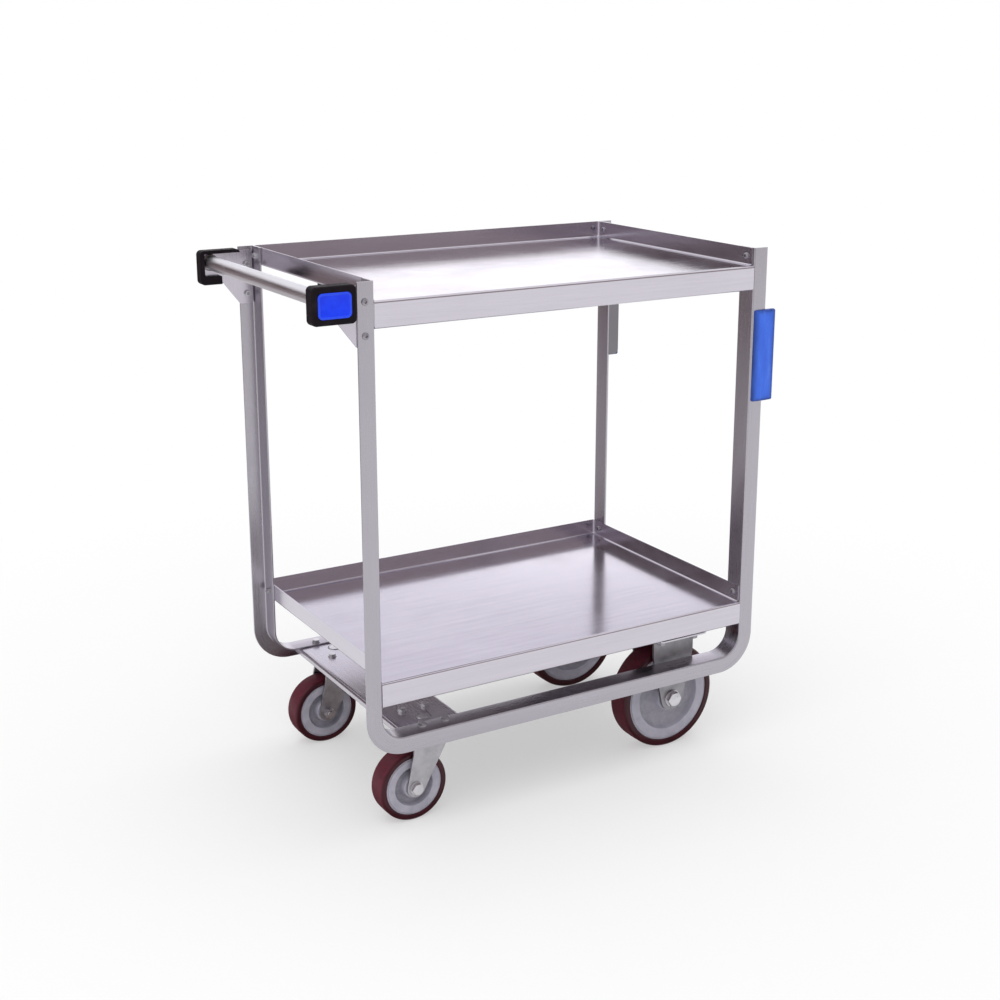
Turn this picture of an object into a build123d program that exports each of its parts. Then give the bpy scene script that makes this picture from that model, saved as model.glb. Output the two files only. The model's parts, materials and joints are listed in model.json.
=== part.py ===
from build123d import *
import os

os.makedirs("parts", exist_ok=True)

# Cart outline in millimetres: X runs along the cart with the handle at -X, Z is up from the floor,
# and the near side is at -Y
frame_length = 802.0
frame_width = 488.0
cart_height = 946.0
handle_reach = 76.0
leg_bumper_reach = 22.0

# Bent angle of the two U-frames
angle_gauge = 3.0
web_width = 29.0
flange_depth = 39.0
bend_radius = 70.0
heel_radius = 3.0
rail_bottom = 153.0

# Trays: three rims up, the near long edge turned down as an apron with a return
shelf_gauge = 1.5
rim_height = 31.0
apron_depth = 44.0
apron_return = 12.0
fold_radius = 4.5
tray_corner = 6.0
near_strip = 6.0
lower_floor = 285.5

# Hat channels under the trays
hat_depth = 25.0
hat_foot_half = 60.0
hat_side_half = 36.0
hat_crown_half = 30.0
hat_bend = 3.0
hat_end_gap = 30.0

# Cross members that carry the casters and the rigid wheels
bolster_gauge = 3.0
bolster_bend = 5.0
caster_bolster_width = 121.0
caster_bolster_lip = 12.0
caster_bolster_gap = 0.5
wheel_bolster_web = 107.0
wheel_bolster_foot = 20.0
wheel_bolster_bottom = 231.0
wheel_bolster_length = 456.0

# Push handle and its gussets
handle_diameter = 25.4
handle_wall = 1.6
handle_overhang = 54.0
handle_height = 922.0
gusset_gauge = 3.0
gusset_inset = 23.0
gusset_tip = 70.0
gusset_knee = 35.0
gusset_top = 940.0
gusset_low = 889.0
gusset_foot = 844.0
gusset_corner = 5.0

# End bumpers of the handle and the plates set into them
bumper_length = 74.0
bumper_bottom = 884.0
bumper_top = 944.0
bumper_outer = 249.0
bumper_inner = 226.0
bumper_corner = 8.0
bumper_edge = 4.0
window_reach = 68.0
window_bottom = 898.0
window_top = 938.0
window_step = 37.0
face_size = (56.0, 40.0)
face_corner = 8.0
face_depth = 2.0
face_thickness = 3.0
face_edge = 0.8

# Leg bumpers over the outer edges of the right-hand legs, and the plates that back them
leg_bumper_lap = 25.0
leg_bumper_crest = 6.0
leg_bumper_lip = 4.0
leg_bumper_nose = 3.0
leg_bumper_edge = 2.0
leg_bumper_height = 166.0
leg_bumper_drop = 111.0
leg_bumper_screw_pitch = 104.0
backing_gauge = 3.0
backing_margin = 1.5
backing_corner = 9.0

# Fasteners
shelf_bolt = 6.0
shelf_bolt_length = 11.5
handle_bolt = 6.0
handle_bolt_length = 12.5
handle_bolt_heights = (915.0, 862.0)
bumper_screw = 5.0
bumper_screw_length = 9.0
caster_bolt = 8.0
caster_bolt_end = 161.0
fork_bolt = 10.0
fork_bolt_length = 18.0
hex_half_share = 0.8
hex_head_share = 0.65
button_radius_share = 0.95
button_height_share = 0.55
button_bevel_share = 0.6
nut_share = 0.85
nut_and_tip_share = 1.02
hole_clearance = 0.4
running_clearance = 0.05
swivel_gap = 0.2

# Swivel casters
caster_inset = 137.0
caster_y = 180.0
caster_trail = 30.0
caster_plate_size = (67.0, 95.0)
caster_plate_gauge = 5.0
caster_plate_corner = 8.0
caster_bolt_pitch = (44.4, 74.0)
race_radius = 33.0
race_edge = 2.0
upper_race_height = 6.0
lower_race_height = 7.0
ball_ring_inner = 18.0
ball_ring_outer = 30.0
ball_ring_edge = 2.5
caster_crown_top = 150.0
caster_fork_gap = 50.0
caster_fork_gauge = 4.0
caster_fork_width = 58.0
caster_fork_shoulder = 14.0
caster_fork_boss = 17.0
caster_fork_bend = 3.0
kingpin_diameter = 14.0
kingpin_head = 13.0
kingpin_head_height = 4.0
kingpin_end = 134.0
kingpin_nut_share = 0.64

# Caster wheels, 5 inch
caster_radius = 63.5
caster_tread_thickness = 11.0
caster_tread_width = 42.0
caster_shoulder = 5.0
caster_axle = 12.0
caster_bush_radius = 9.0
caster_bearing_radius = 14.0
caster_hub_radius = 20.0
caster_hub_width = 46.0
caster_web = 12.0
caster_rim_radius = 36.0
caster_rim_width = 40.0
caster_web_fillet = 4.0

# Forks of the rigid wheels
wheel_inset = 146.0
wheel_y = 163.0
fork_plate_size = (104.0, 104.0)
fork_plate_gauge = 5.0
fork_plate_corner = 8.0
fork_bolt_pitch = (74.0, 88.0)
wheel_fork_gap = 60.0
wheel_fork_gauge = 5.0
wheel_fork_width = 90.0
wheel_fork_shoulder = 36.0
wheel_fork_boss = 24.0
wheel_fork_bend = 4.0

# Rigid wheels, 8 inch
wheel_radius = 101.6
wheel_tread_thickness = 14.0
wheel_tread_width = 48.0
wheel_shoulder = 6.0
wheel_axle = 16.0
wheel_bush_radius = 11.0
wheel_bearing_radius = 17.0
wheel_hub_radius = 27.0
wheel_hub_width = 56.0
wheel_web = 16.0
wheel_rim_radius = 66.0
wheel_rim_width = 46.0
wheel_web_fillet = 7.0

# Draft of the cast wheel centres, as a share of the dish
casting_draft_share = 0.12
casting_edge = 1.5

# Places worked out from the driving dimensions
frame_mid = (handle_reach - leg_bumper_reach) / 2
left_leg = frame_mid - frame_length / 2
right_leg = frame_mid + frame_length / 2
side_face = frame_width / 2
web_back = side_face - angle_gauge
flange_mid = side_face - (angle_gauge + flange_depth) / 2
rail_top = rail_bottom + web_width
rail_under = rail_top - angle_gauge
side_plane = Plane.XZ.offset(side_face)

shelf_length = frame_length - 2 * web_width
top_floor = cart_height - rim_height
lower_shelf_under = lower_floor - shelf_gauge
shelf_bolt_heights = (top_floor + rim_height / 2, lower_floor + rim_height / 2)

gusset_back = web_back - gusset_gauge
handle_x = left_leg - handle_overhang
handle_bolt_x = left_leg + (web_width - angle_gauge) / 2
bumper_centre = (left_leg - handle_reach + bumper_length / 2, (bumper_bottom + bumper_top) / 2)

leg_bumper_base = cart_height - leg_bumper_drop - leg_bumper_height
leg_bumper_start = right_leg - leg_bumper_lap
leg_bumper_end = right_leg + leg_bumper_reach
backing_back = web_back - backing_gauge
backing_width = leg_bumper_end - leg_bumper_start - 2 * backing_margin
backing_height = leg_bumper_height - 2 * backing_margin
backing_x = (leg_bumper_start + leg_bumper_end) / 2
bumper_screw_x = right_leg - leg_bumper_lap / 2
bumper_screw_mid = leg_bumper_base + leg_bumper_height / 2
bumper_screw_heights = (
    bumper_screw_mid - leg_bumper_screw_pitch / 2,
    bumper_screw_mid + leg_bumper_screw_pitch / 2,
)

caster_x = left_leg + caster_inset
caster_plate_top = rail_under - bolster_gauge
caster_plate_under = caster_plate_top - caster_plate_gauge
caster_bolt_xs = (caster_x - caster_bolt_pitch[0] / 2, caster_x + caster_bolt_pitch[0] / 2)
caster_bolt_outer = caster_y + caster_bolt_pitch[1] / 2
caster_bolt_inner = caster_y - caster_bolt_pitch[1] / 2
kingpin_nut_top = caster_crown_top - caster_fork_gauge - swivel_gap
ball_ring_base = caster_crown_top + lower_race_height
ball_ring_top = caster_plate_under - upper_race_height - swivel_gap
caster_centre = (caster_x - caster_trail, -caster_y, caster_radius)
caster_fork_half = caster_fork_gap / 2 + caster_fork_gauge
caster_axle_grip = 2 * caster_fork_half

wheel_x = right_leg - wheel_inset
fork_plate_under = wheel_bolster_bottom - fork_plate_gauge
wheel_centre = (wheel_x, -wheel_y, wheel_radius)
wheel_fork_half = wheel_fork_gap / 2 + wheel_fork_gauge
wheel_axle_grip = 2 * wheel_fork_half


def save(piece, label):
    """Name a finished piece and write its file."""
    piece.part.label = label
    export_step(piece.part, f"parts/{label}.step")


def save_pair(near, label):
    """Write a near-side piece, and its mirror image for the far side."""
    save(near, f"{label}_near")
    with BuildPart() as far:
        mirror(near.part, about=Plane.XZ)
    save(far, f"{label}_far")


def folded_section(points, bend, gauge):
    """Cross-section of folded sheet, from the line through the middle of the sheet."""
    with BuildSketch() as section:
        with BuildLine():
            FilletPolyline(*points, radius=bend)
        trace(line_width=gauge)
    return section.sketch


def u_outline(inset):
    """Area inside the U of a side frame, brought in from its outer edge."""
    half = frame_length / 2 - inset
    foot = rail_bottom + inset
    with BuildSketch() as outline:
        with BuildLine():
            sides = FilletPolyline(
                (frame_mid - half, cart_height),
                (frame_mid - half, foot),
                (frame_mid + half, foot),
                (frame_mid + half, cart_height),
                radius=bend_radius - inset,
            )
            Line(sides @ 1, sides @ 0)
        make_face()
    return outline.sketch


def hex_bolt(diameter, length):
    """Hex bolt with its head above the origin and its shank below."""
    with BuildPart() as bolt:
        with BuildSketch():
            RegularPolygon(radius=hex_half_share * diameter, side_count=6, major_radius=False)
        extrude(amount=hex_head_share * diameter)
        with BuildSketch():
            Circle(diameter / 2)
        extrude(amount=-length)
    return bolt.part


def button_bolt(diameter, length):
    """Round-headed bolt with its head above the origin and its shank below."""
    head_height = button_height_share * diameter
    with BuildPart() as bolt:
        with BuildSketch():
            Circle(button_radius_share * diameter)
        extrude(amount=head_height)
        chamfer(bolt.edges().group_by(Axis.Z)[-1], length=button_bevel_share * head_height)
        with BuildSketch():
            Circle(diameter / 2)
        extrude(amount=-length)
    return bolt.part


def hex_nut(diameter, height_share=nut_share):
    """Hex nut standing on the origin."""
    with BuildPart() as nut:
        with BuildSketch():
            RegularPolygon(radius=hex_half_share * diameter, side_count=6, major_radius=False)
            Circle(diameter / 2 + running_clearance, mode=Mode.SUBTRACT)
        extrude(amount=height_share * diameter)
    return nut.part


def tyre(radius, thickness, width, shoulder):
    """Moulded tread ring about the Y axis, with rounded shoulders."""
    with BuildPart() as ring:
        with BuildSketch():
            with Locations((radius - thickness / 2, 0)):
                section = Rectangle(thickness, width)
            fillet(section.vertices().group_by(Axis.X)[-1], radius=shoulder)
        revolve(axis=Axis.Y)
    return ring.part


def wheel_centre_casting(bore, hub, hub_width, web, rim_inner, rim_outer, rim_width, web_fillet):
    """Cast wheel centre about the Y axis: hub, dished web and rim, with rounded roots."""
    draft = casting_draft_share * (rim_inner - hub)
    with BuildPart() as core:
        with BuildSketch() as section:
            with BuildLine():
                Polyline(
                    (bore, 0),
                    (bore, hub_width / 2),
                    (hub, hub_width / 2),
                    (hub + draft, web / 2),
                    (rim_inner - draft, web / 2),
                    (rim_inner, rim_width / 2),
                    (rim_outer, rim_width / 2),
                    (rim_outer, 0),
                )
                mirror(about=Plane.XZ)
            make_face()
            dish = section.vertices().filter_by_position(Axis.X, hub, rim_inner)
            fillet(dish.filter_by_position(Axis.Y, -web, web), radius=web_fillet)
            dish = section.vertices().filter_by_position(Axis.X, hub, rim_inner)
            chamfer(dish.sort_by(lambda lip: abs(lip.Y))[-4:], length=casting_edge)
        revolve(axis=Axis.Y)
    return core.part


def sleeve(inner, outer, length):
    """Plain tube about the Y axis, centred on the origin."""
    with BuildPart() as tube:
        with BuildSketch(Plane.XZ):
            Circle(outer)
            Circle(inner, mode=Mode.SUBTRACT)
        extrude(amount=length / 2, both=True)
    return tube.part


def pressed_fork(gap, gauge, drop, trail, top_width, shoulder, boss, axle, bend):
    """Pressed fork: flat crown with its top at the origin, and two tapered legs down to the axle."""
    half = gap / 2 + gauge
    with BuildPart() as fork:
        with BuildSketch(Plane.XZ.offset(half)):
            with Locations((0, -shoulder / 2)):
                Rectangle(top_width, shoulder)
            with Locations((-trail, -drop)):
                Circle(boss)
            make_hull()
        extrude(amount=-2 * half)
        fillet(fork.edges().filter_by(Axis.X).group_by(Axis.Z)[-1], radius=bend + gauge)
        with BuildSketch(Plane.YZ):
            with Locations((0, -gauge)):
                hollow = Rectangle(gap, 2 * drop, align=(Align.CENTER, Align.MAX))
            fillet(hollow.vertices().group_by(Axis.Y)[-1], radius=bend)
        extrude(amount=top_width + trail + boss, both=True, mode=Mode.SUBTRACT)
        with Locations(Location((-trail, 0, -drop), (90, 0, 0))):
            Hole(axle / 2 + running_clearance)
    return fork.part


# Side frames: each is one angle bent into a U, web outwards and flange inside the bend
with BuildPart() as u_frame:
    with BuildSketch(side_plane):
        add(u_outline(0))
        add(u_outline(web_width), mode=Mode.SUBTRACT)
    extrude(amount=-angle_gauge)
    with BuildSketch(side_plane):
        add(u_outline(web_width - angle_gauge))
        add(u_outline(web_width), mode=Mode.SUBTRACT)
    extrude(amount=-flange_depth)
    heel = u_frame.faces().sort_by(Axis.Y)[0].edges().filter_by(
        lambda edge: abs(edge.center().X - frame_mid) < shelf_length / 2 + angle_gauge / 2
        and edge.center().Z > rail_under
    )
    fillet(heel, radius=heel_radius)
    with Locations(*[Location((frame_mid, -flange_mid, z), (0, 90, 0)) for z in shelf_bolt_heights]):
        Hole(shelf_bolt / 2 + hole_clearance)
    with Locations(*[Location((handle_bolt_x, -side_face, z), (90, 0, 0)) for z in handle_bolt_heights]):
        Hole(handle_bolt / 2 + hole_clearance)
    with Locations(*[Location((bumper_screw_x, -side_face, z), (90, 0, 0)) for z in bumper_screw_heights]):
        Hole(bumper_screw / 2 + hole_clearance)
    with Locations(*[(x, -caster_bolt_outer, rail_top) for x in caster_bolt_xs]):
        Hole(caster_bolt / 2 + hole_clearance)
save_pair(u_frame, "u_frame")

# Trays: a shelled pan open along its near edge, which is folded down into the apron
for shelf_name, floor in (("top_shelf", top_floor), ("lower_shelf", lower_floor)):
    sheet_y = shelf_gauge / 2 - side_face
    sheet_top = floor - shelf_gauge / 2
    sheet_low = floor - apron_depth + shelf_gauge / 2
    apron_line = (
        (near_strip - side_face, sheet_top),
        (sheet_y, sheet_top),
        (sheet_y, sheet_low),
        (apron_return - side_face, sheet_low),
    )
    bolt_z = floor + rim_height / 2
    with BuildPart() as shelf:
        with BuildSketch(Plane.XY.offset(floor - shelf_gauge)):
            with Locations((frame_mid, near_strip / 2)):
                Rectangle(shelf_length, frame_width - near_strip)
        extrude(amount=rim_height + shelf_gauge)
        fillet(shelf.edges().filter_by(Axis.Z).group_by(Axis.Y)[-1], radius=tray_corner)
        underside = shelf.faces().sort_by(Axis.Z)[0]
        fillet(underside.edges().sort_by(Axis.Y)[1:], radius=fold_radius)
        open_top = shelf.faces().sort_by(Axis.Z)[-1]
        open_front = shelf.faces().sort_by(Axis.Y)[0]
        offset(amount=-shelf_gauge, openings=[open_top, open_front])
        with BuildSketch(Plane.YZ.offset(frame_mid - shelf_length / 2)):
            add(folded_section(apron_line, fold_radius - shelf_gauge / 2, shelf_gauge))
        extrude(amount=shelf_length)
        with Locations(*[Location((frame_mid, y, bolt_z), (0, 90, 0)) for y in (-flange_mid, flange_mid)]):
            Hole(shelf_bolt / 2 + hole_clearance)
    save(shelf, shelf_name)

# Hat channels welded under the tray floors; the lower one stops short of the wheel bolster
hat_start = frame_mid - shelf_length / 2 + hat_end_gap
hat_ends = {
    "top_shelf_stiffener": frame_mid + shelf_length / 2 - hat_end_gap,
    "lower_shelf_stiffener": wheel_x - wheel_bolster_web / 2 - wheel_bolster_foot - hat_end_gap,
}
for (hat_name, hat_end), floor in zip(hat_ends.items(), (top_floor, lower_floor)):
    foot_z = floor - shelf_gauge - shelf_gauge / 2
    crown_z = foot_z - hat_depth
    hat_line = (
        (-hat_foot_half, foot_z),
        (-hat_side_half, foot_z),
        (-hat_crown_half, crown_z),
        (hat_crown_half, crown_z),
        (hat_side_half, foot_z),
        (hat_foot_half, foot_z),
    )
    with BuildPart() as hat:
        with BuildSketch(Plane.YZ.offset(hat_start)):
            add(folded_section(hat_line, hat_bend, shelf_gauge))
        extrude(amount=hat_end - hat_start)
    save(hat, hat_name)

# Caster bolster: a lipped plate between the side frames, under the rail flanges
plate_z = rail_under - bolster_gauge / 2
lip_z = rail_under - caster_bolster_lip
lip_half = (caster_bolster_width - bolster_gauge) / 2
bolster_line = (
    (caster_x - lip_half, lip_z),
    (caster_x - lip_half, plate_z),
    (caster_x + lip_half, plate_z),
    (caster_x + lip_half, lip_z),
)
with BuildPart() as caster_bolster:
    with BuildSketch(Plane.XZ.offset(web_back - caster_bolster_gap)):
        add(folded_section(bolster_line, bolster_bend, bolster_gauge))
    extrude(amount=2 * (caster_bolster_gap - web_back))
    for y in (-caster_y, caster_y):
        with Locations((caster_x, y, rail_under)):
            Hole(kingpin_head + hole_clearance)
            with GridLocations(*caster_bolt_pitch, 2, 2):
                Hole(caster_bolt / 2 + hole_clearance)
save(caster_bolster, "caster_bolster")

# Wheel bolster: a channel across the cart, its feet welded to the underside of the lower tray
foot_z = lower_shelf_under - bolster_gauge / 2
web_z = wheel_bolster_bottom + bolster_gauge / 2
web_half = (wheel_bolster_web - bolster_gauge) / 2
channel_line = (
    (wheel_x - web_half - wheel_bolster_foot, foot_z),
    (wheel_x - web_half, foot_z),
    (wheel_x - web_half, web_z),
    (wheel_x + web_half, web_z),
    (wheel_x + web_half, foot_z),
    (wheel_x + web_half + wheel_bolster_foot, foot_z),
)
with BuildPart() as wheel_bolster:
    with BuildSketch(Plane.XZ.offset(wheel_bolster_length / 2)):
        add(folded_section(channel_line, bolster_bend, bolster_gauge))
    extrude(amount=-wheel_bolster_length)
    for y in (-wheel_y, wheel_y):
        with Locations((wheel_x, y, wheel_bolster_bottom)):
            with GridLocations(*fork_bolt_pitch, 2, 2):
                Hole(fork_bolt / 2 + hole_clearance)
save(wheel_bolster, "wheel_bolster")

# Bolts from the tray ends to the leg flanges, heads inside the trays
with BuildPart() as shelf_bolts:
    for end in (-1, 1):
        rim_face = frame_mid + end * (shelf_length / 2 - shelf_gauge)
        places = [(rim_face, side * flange_mid, z) for side in (-1, 1) for z in shelf_bolt_heights]
        with Locations(*[Location(place, (0, -90 * end, 0)) for place in places]):
            add(button_bolt(shelf_bolt, shelf_bolt_length))
save(shelf_bolts, "shelf_bolts")

with BuildPart() as shelf_nuts:
    for end in (-1, 1):
        flange_face = frame_mid + end * (shelf_length / 2 + angle_gauge)
        places = [(flange_face, side * flange_mid, z) for side in (-1, 1) for z in shelf_bolt_heights]
        with Locations(*[Location(place, (0, 90 * end, 0)) for place in places]):
            add(hex_nut(shelf_bolt))
save(shelf_nuts, "shelf_nuts")

# Push handle: a round tube between the two gussets
with BuildPart() as push_handle:
    with BuildSketch(Plane.XZ.offset(gusset_back)):
        with Locations((handle_x, handle_height)):
            Circle(handle_diameter / 2)
            Circle(handle_diameter / 2 - handle_wall, mode=Mode.SUBTRACT)
    extrude(amount=-2 * gusset_back)
save(push_handle, "push_handle")

# Gussets: plates on the inner face of the left-hand legs that reach out to the handle
with BuildPart() as handle_bracket:
    with BuildSketch(Plane.XZ.offset(web_back)) as gusset:
        with BuildLine():
            Polyline(
                (left_leg + gusset_inset, gusset_foot),
                (left_leg + gusset_inset, gusset_top),
                (left_leg - gusset_tip, gusset_top),
                (left_leg - gusset_tip, gusset_low),
                (left_leg - gusset_knee, gusset_low),
                (left_leg, gusset_foot),
                close=True,
            )
        make_face()
        fillet(gusset.vertices(), radius=gusset_corner)
    extrude(amount=-gusset_gauge)
    with Locations(*[Location((handle_bolt_x, -web_back, z), (90, 0, 0)) for z in handle_bolt_heights]):
        Hole(handle_bolt / 2 + hole_clearance)
save_pair(handle_bracket, "handle_bracket")

# Bolts from the legs to the gussets, heads outside
with BuildPart() as handle_bolts:
    for side in (-1, 1):
        places = [(handle_bolt_x, side * side_face, z) for z in handle_bolt_heights]
        with Locations(*[Location(place, (-90 * side, 0, 0)) for place in places]):
            add(button_bolt(handle_bolt, handle_bolt_length))
save(handle_bolts, "handle_bolts")

with BuildPart() as handle_nuts:
    for side in (-1, 1):
        places = [(handle_bolt_x, side * gusset_back, z) for z in handle_bolt_heights]
        with Locations(*[Location(place, (90 * side, 0, 0)) for place in places]):
            add(hex_nut(handle_bolt))
save(handle_nuts, "handle_nuts")

# End bumpers: rubber blocks slipped over the gussets, open on the inside where the tube comes in
# and below it where the gusset runs down to the leg
with BuildPart() as handle_bumper:
    with BuildSketch(Plane.XZ.offset(bumper_outer)):
        with Locations(bumper_centre):
            RectangleRounded(bumper_length, bumper_top - bumper_bottom, bumper_corner)
    extrude(amount=bumper_inner - bumper_outer)
    fillet(handle_bumper.faces().sort_by(Axis.Y)[0].edges(), radius=bumper_edge)
    add(handle_bracket.part, mode=Mode.SUBTRACT)
    with BuildSketch(Plane.XZ.offset(gusset_back)):
        with Locations((left_leg - window_reach, window_bottom)):
            Rectangle(window_reach, window_top - window_bottom, align=(Align.MIN, Align.MIN))
        with Locations((left_leg - window_step, bumper_bottom)):
            Rectangle(window_step, window_top - bumper_bottom, align=(Align.MIN, Align.MIN))
    extrude(amount=-gusset_back, mode=Mode.SUBTRACT)
    with BuildSketch(Plane.XZ.offset(bumper_outer)):
        with Locations(bumper_centre):
            RectangleRounded(*face_size, face_corner)
    extrude(amount=-face_depth, mode=Mode.SUBTRACT)
save_pair(handle_bumper, "handle_bumper")

# Plain plates set into the outer faces of the end bumpers
with BuildPart() as bumper_face:
    with BuildSketch(Plane.XZ.offset(bumper_outer - face_depth)):
        with Locations(bumper_centre):
            RectangleRounded(*face_size, face_corner)
    extrude(amount=face_thickness)
    fillet(bumper_face.faces().sort_by(Axis.Y)[0].edges(), radius=face_edge)
save_pair(bumper_face, "bumper_face")

# Leg bumpers: vinyl mouldings with a domed face that lap the outer face and the edge of the web
with BuildPart() as leg_bumper:
    with BuildSketch(Plane.XY.offset(leg_bumper_base)) as moulding:
        with BuildLine():
            jaw = Polyline(
                (leg_bumper_start, -side_face - leg_bumper_lip),
                (leg_bumper_start, -web_back),
                (leg_bumper_end, -web_back),
                (leg_bumper_end, -side_face - leg_bumper_lip),
            )
            ThreePointArc(jaw @ 1, (backing_x, -side_face - leg_bumper_crest), jaw @ 0)
        make_face()
        fillet(moulding.vertices().group_by(Axis.Y)[0], radius=leg_bumper_nose)
    extrude(amount=leg_bumper_height)
    fillet(leg_bumper.faces().sort_by(Axis.Z)[-1].edges(), radius=leg_bumper_edge)
    fillet(leg_bumper.faces().sort_by(Axis.Z)[0].edges(), radius=leg_bumper_edge)
    with BuildSketch(Plane.XY.offset(leg_bumper_base)):
        with Locations((leg_bumper_start, -side_face)):
            Rectangle(leg_bumper_lap, angle_gauge, align=(Align.MIN, Align.MIN))
    extrude(amount=leg_bumper_height, mode=Mode.SUBTRACT)
    places = [(bumper_screw_x, -backing_back, z) for z in bumper_screw_heights]
    with Locations(*[Location(place, (-90, 0, 0)) for place in places]):
        Hole(bumper_screw / 2 + hole_clearance, depth=bumper_screw_length)
save_pair(leg_bumper, "leg_bumper")

# Steel plates that back the leg bumpers on the inner face of the webs
with BuildPart() as leg_bumper_backings:
    for side in (-1, 1):
        with BuildSketch(Plane.XZ.offset(-side * backing_back)):
            with Locations((backing_x, bumper_screw_mid)):
                RectangleRounded(backing_width, backing_height, backing_corner)
            with Locations(*[(bumper_screw_x, z) for z in bumper_screw_heights]):
                Circle(bumper_screw / 2 + hole_clearance, mode=Mode.SUBTRACT)
        extrude(amount=-side * backing_gauge)
save(leg_bumper_backings, "leg_bumper_backings")

# Screws through the backing plates and the webs into the leg bumpers
with BuildPart() as leg_bumper_screws:
    for side in (-1, 1):
        places = [(bumper_screw_x, side * backing_back, z) for z in bumper_screw_heights]
        with Locations(*[Location(place, (90 * side, 0, 0)) for place in places]):
            add(button_bolt(bumper_screw, bumper_screw_length))
save(leg_bumper_screws, "leg_bumper_screws")

# Swivel casters: top plate with its pressed race
with BuildPart() as caster_plate:
    with BuildSketch(Plane.XY.offset(caster_plate_under)):
        with Locations((caster_x, -caster_y)):
            RectangleRounded(*caster_plate_size, caster_plate_corner)
    extrude(amount=caster_plate_gauge)
    with BuildSketch(Plane.XY.offset(caster_plate_under)):
        with Locations((caster_x, -caster_y)):
            Circle(race_radius)
    extrude(amount=-upper_race_height)
    chamfer(caster_plate.edges().group_by(Axis.Z)[0], length=race_edge)
    with Locations((caster_x, -caster_y, caster_plate_top)):
        Hole(kingpin_diameter / 2 + running_clearance)
        with GridLocations(*caster_bolt_pitch, 2, 2):
            Hole(caster_bolt / 2 + hole_clearance)
save_pair(caster_plate, "caster_plate")

# Kingpins: headed pins through plate, race and fork, each with a nut under the fork crown
with BuildPart() as kingpin:
    with BuildSketch(Plane.XY.offset(caster_plate_top)):
        with Locations((caster_x, -caster_y)):
            Circle(kingpin_head)
    extrude(amount=kingpin_head_height)
    chamfer(kingpin.edges().group_by(Axis.Z)[-1], length=kingpin_head_height / 2)
    with BuildSketch(Plane.XY.offset(caster_plate_top)):
        with Locations((caster_x, -caster_y)):
            Circle(kingpin_diameter / 2)
    extrude(amount=kingpin_end - caster_plate_top)
save_pair(kingpin, "kingpin")

with BuildPart() as kingpin_nuts:
    places = [(caster_x, side * caster_y, kingpin_nut_top) for side in (-1, 1)]
    with Locations(*[Location(place, (180, 0, 0)) for place in places]):
        add(hex_nut(kingpin_diameter, kingpin_nut_share))
save(kingpin_nuts, "kingpin_nuts")

# Fork of a caster, raked back so that the wheel trails the kingpin, with the lower race on its crown
with BuildPart() as caster_fork:
    with Locations((caster_x, -caster_y, caster_crown_top)):
        add(
            pressed_fork(
                caster_fork_gap,
                caster_fork_gauge,
                caster_crown_top - caster_radius,
                caster_trail,
                caster_fork_width,
                caster_fork_shoulder,
                caster_fork_boss,
                caster_axle,
                caster_fork_bend,
            )
        )
    with BuildSketch(Plane.XY.offset(caster_crown_top)):
        with Locations((caster_x, -caster_y)):
            Circle(race_radius)
    extrude(amount=lower_race_height)
    chamfer(caster_fork.edges().group_by(Axis.Z)[-1], length=race_edge)
    with Locations((caster_x, -caster_y, ball_ring_base)):
        Hole(kingpin_diameter / 2 + running_clearance)
save_pair(caster_fork, "caster_fork")

# Ring of balls in its cage, riding on the lower race
with BuildPart() as swivel_bearing:
    with BuildSketch(Plane.XY.offset(ball_ring_base)):
        with Locations((caster_x, -caster_y)):
            Circle(ball_ring_outer)
            Circle(ball_ring_inner, mode=Mode.SUBTRACT)
    extrude(amount=ball_ring_top - ball_ring_base)
    rims = swivel_bearing.edges().filter_by(GeomType.CIRCLE).sort_by(SortBy.RADIUS)
    chamfer(rims[-2:], length=ball_ring_edge)
save_pair(swivel_bearing, "swivel_bearing")

# Bolts and nuts that hold the casters: the outer pairs also go through the rail flanges
with BuildPart() as caster_bolts:
    for y, seat in ((caster_bolt_outer, rail_top), (caster_bolt_inner, rail_under)):
        with Locations(*[(x, side * y, seat) for x in caster_bolt_xs for side in (-1, 1)]):
            add(hex_bolt(caster_bolt, seat - caster_bolt_end))
save(caster_bolts, "caster_bolts")

with BuildPart() as caster_nuts:
    for y in (caster_bolt_outer, caster_bolt_inner):
        places = [(x, side * y, caster_plate_under) for x in caster_bolt_xs for side in (-1, 1)]
        with Locations(*[Location(place, (180, 0, 0)) for place in places]):
            add(hex_nut(caster_bolt))
save(caster_nuts, "caster_nuts")

# Caster axle: bolt, nut and the bush that the wheel bearing runs on
with BuildPart() as caster_axle_bolt:
    head_seat = (caster_centre[0], -caster_y - caster_fork_half, caster_radius)
    with Locations(Location(head_seat, (90, 0, 0))):
        add(hex_bolt(caster_axle, caster_axle_grip + nut_and_tip_share * caster_axle))
save_pair(caster_axle_bolt, "caster_axle")

with BuildPart() as caster_axle_nut:
    nut_seat = (caster_centre[0], -caster_y + caster_fork_half, caster_radius)
    with Locations(Location(nut_seat, (-90, 0, 0))):
        add(hex_nut(caster_axle))
save_pair(caster_axle_nut, "caster_axle_nut")

with BuildPart() as caster_bush:
    with Locations(caster_centre):
        add(sleeve(caster_axle / 2 + running_clearance, caster_bush_radius, caster_fork_gap))
save_pair(caster_bush, "caster_bush")

# Caster wheel: roller bearing, cast centre and moulded tread
with BuildPart() as caster_bearing:
    with Locations(caster_centre):
        add(sleeve(caster_bush_radius + running_clearance, caster_bearing_radius, caster_hub_width))
save_pair(caster_bearing, "caster_bearing")

with BuildPart() as caster_core:
    with Locations(caster_centre):
        add(
            wheel_centre_casting(
                caster_bearing_radius,
                caster_hub_radius,
                caster_hub_width,
                caster_web,
                caster_rim_radius,
                caster_radius - caster_tread_thickness,
                caster_rim_width,
                caster_web_fillet,
            )
        )
save_pair(caster_core, "caster_core")

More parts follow.
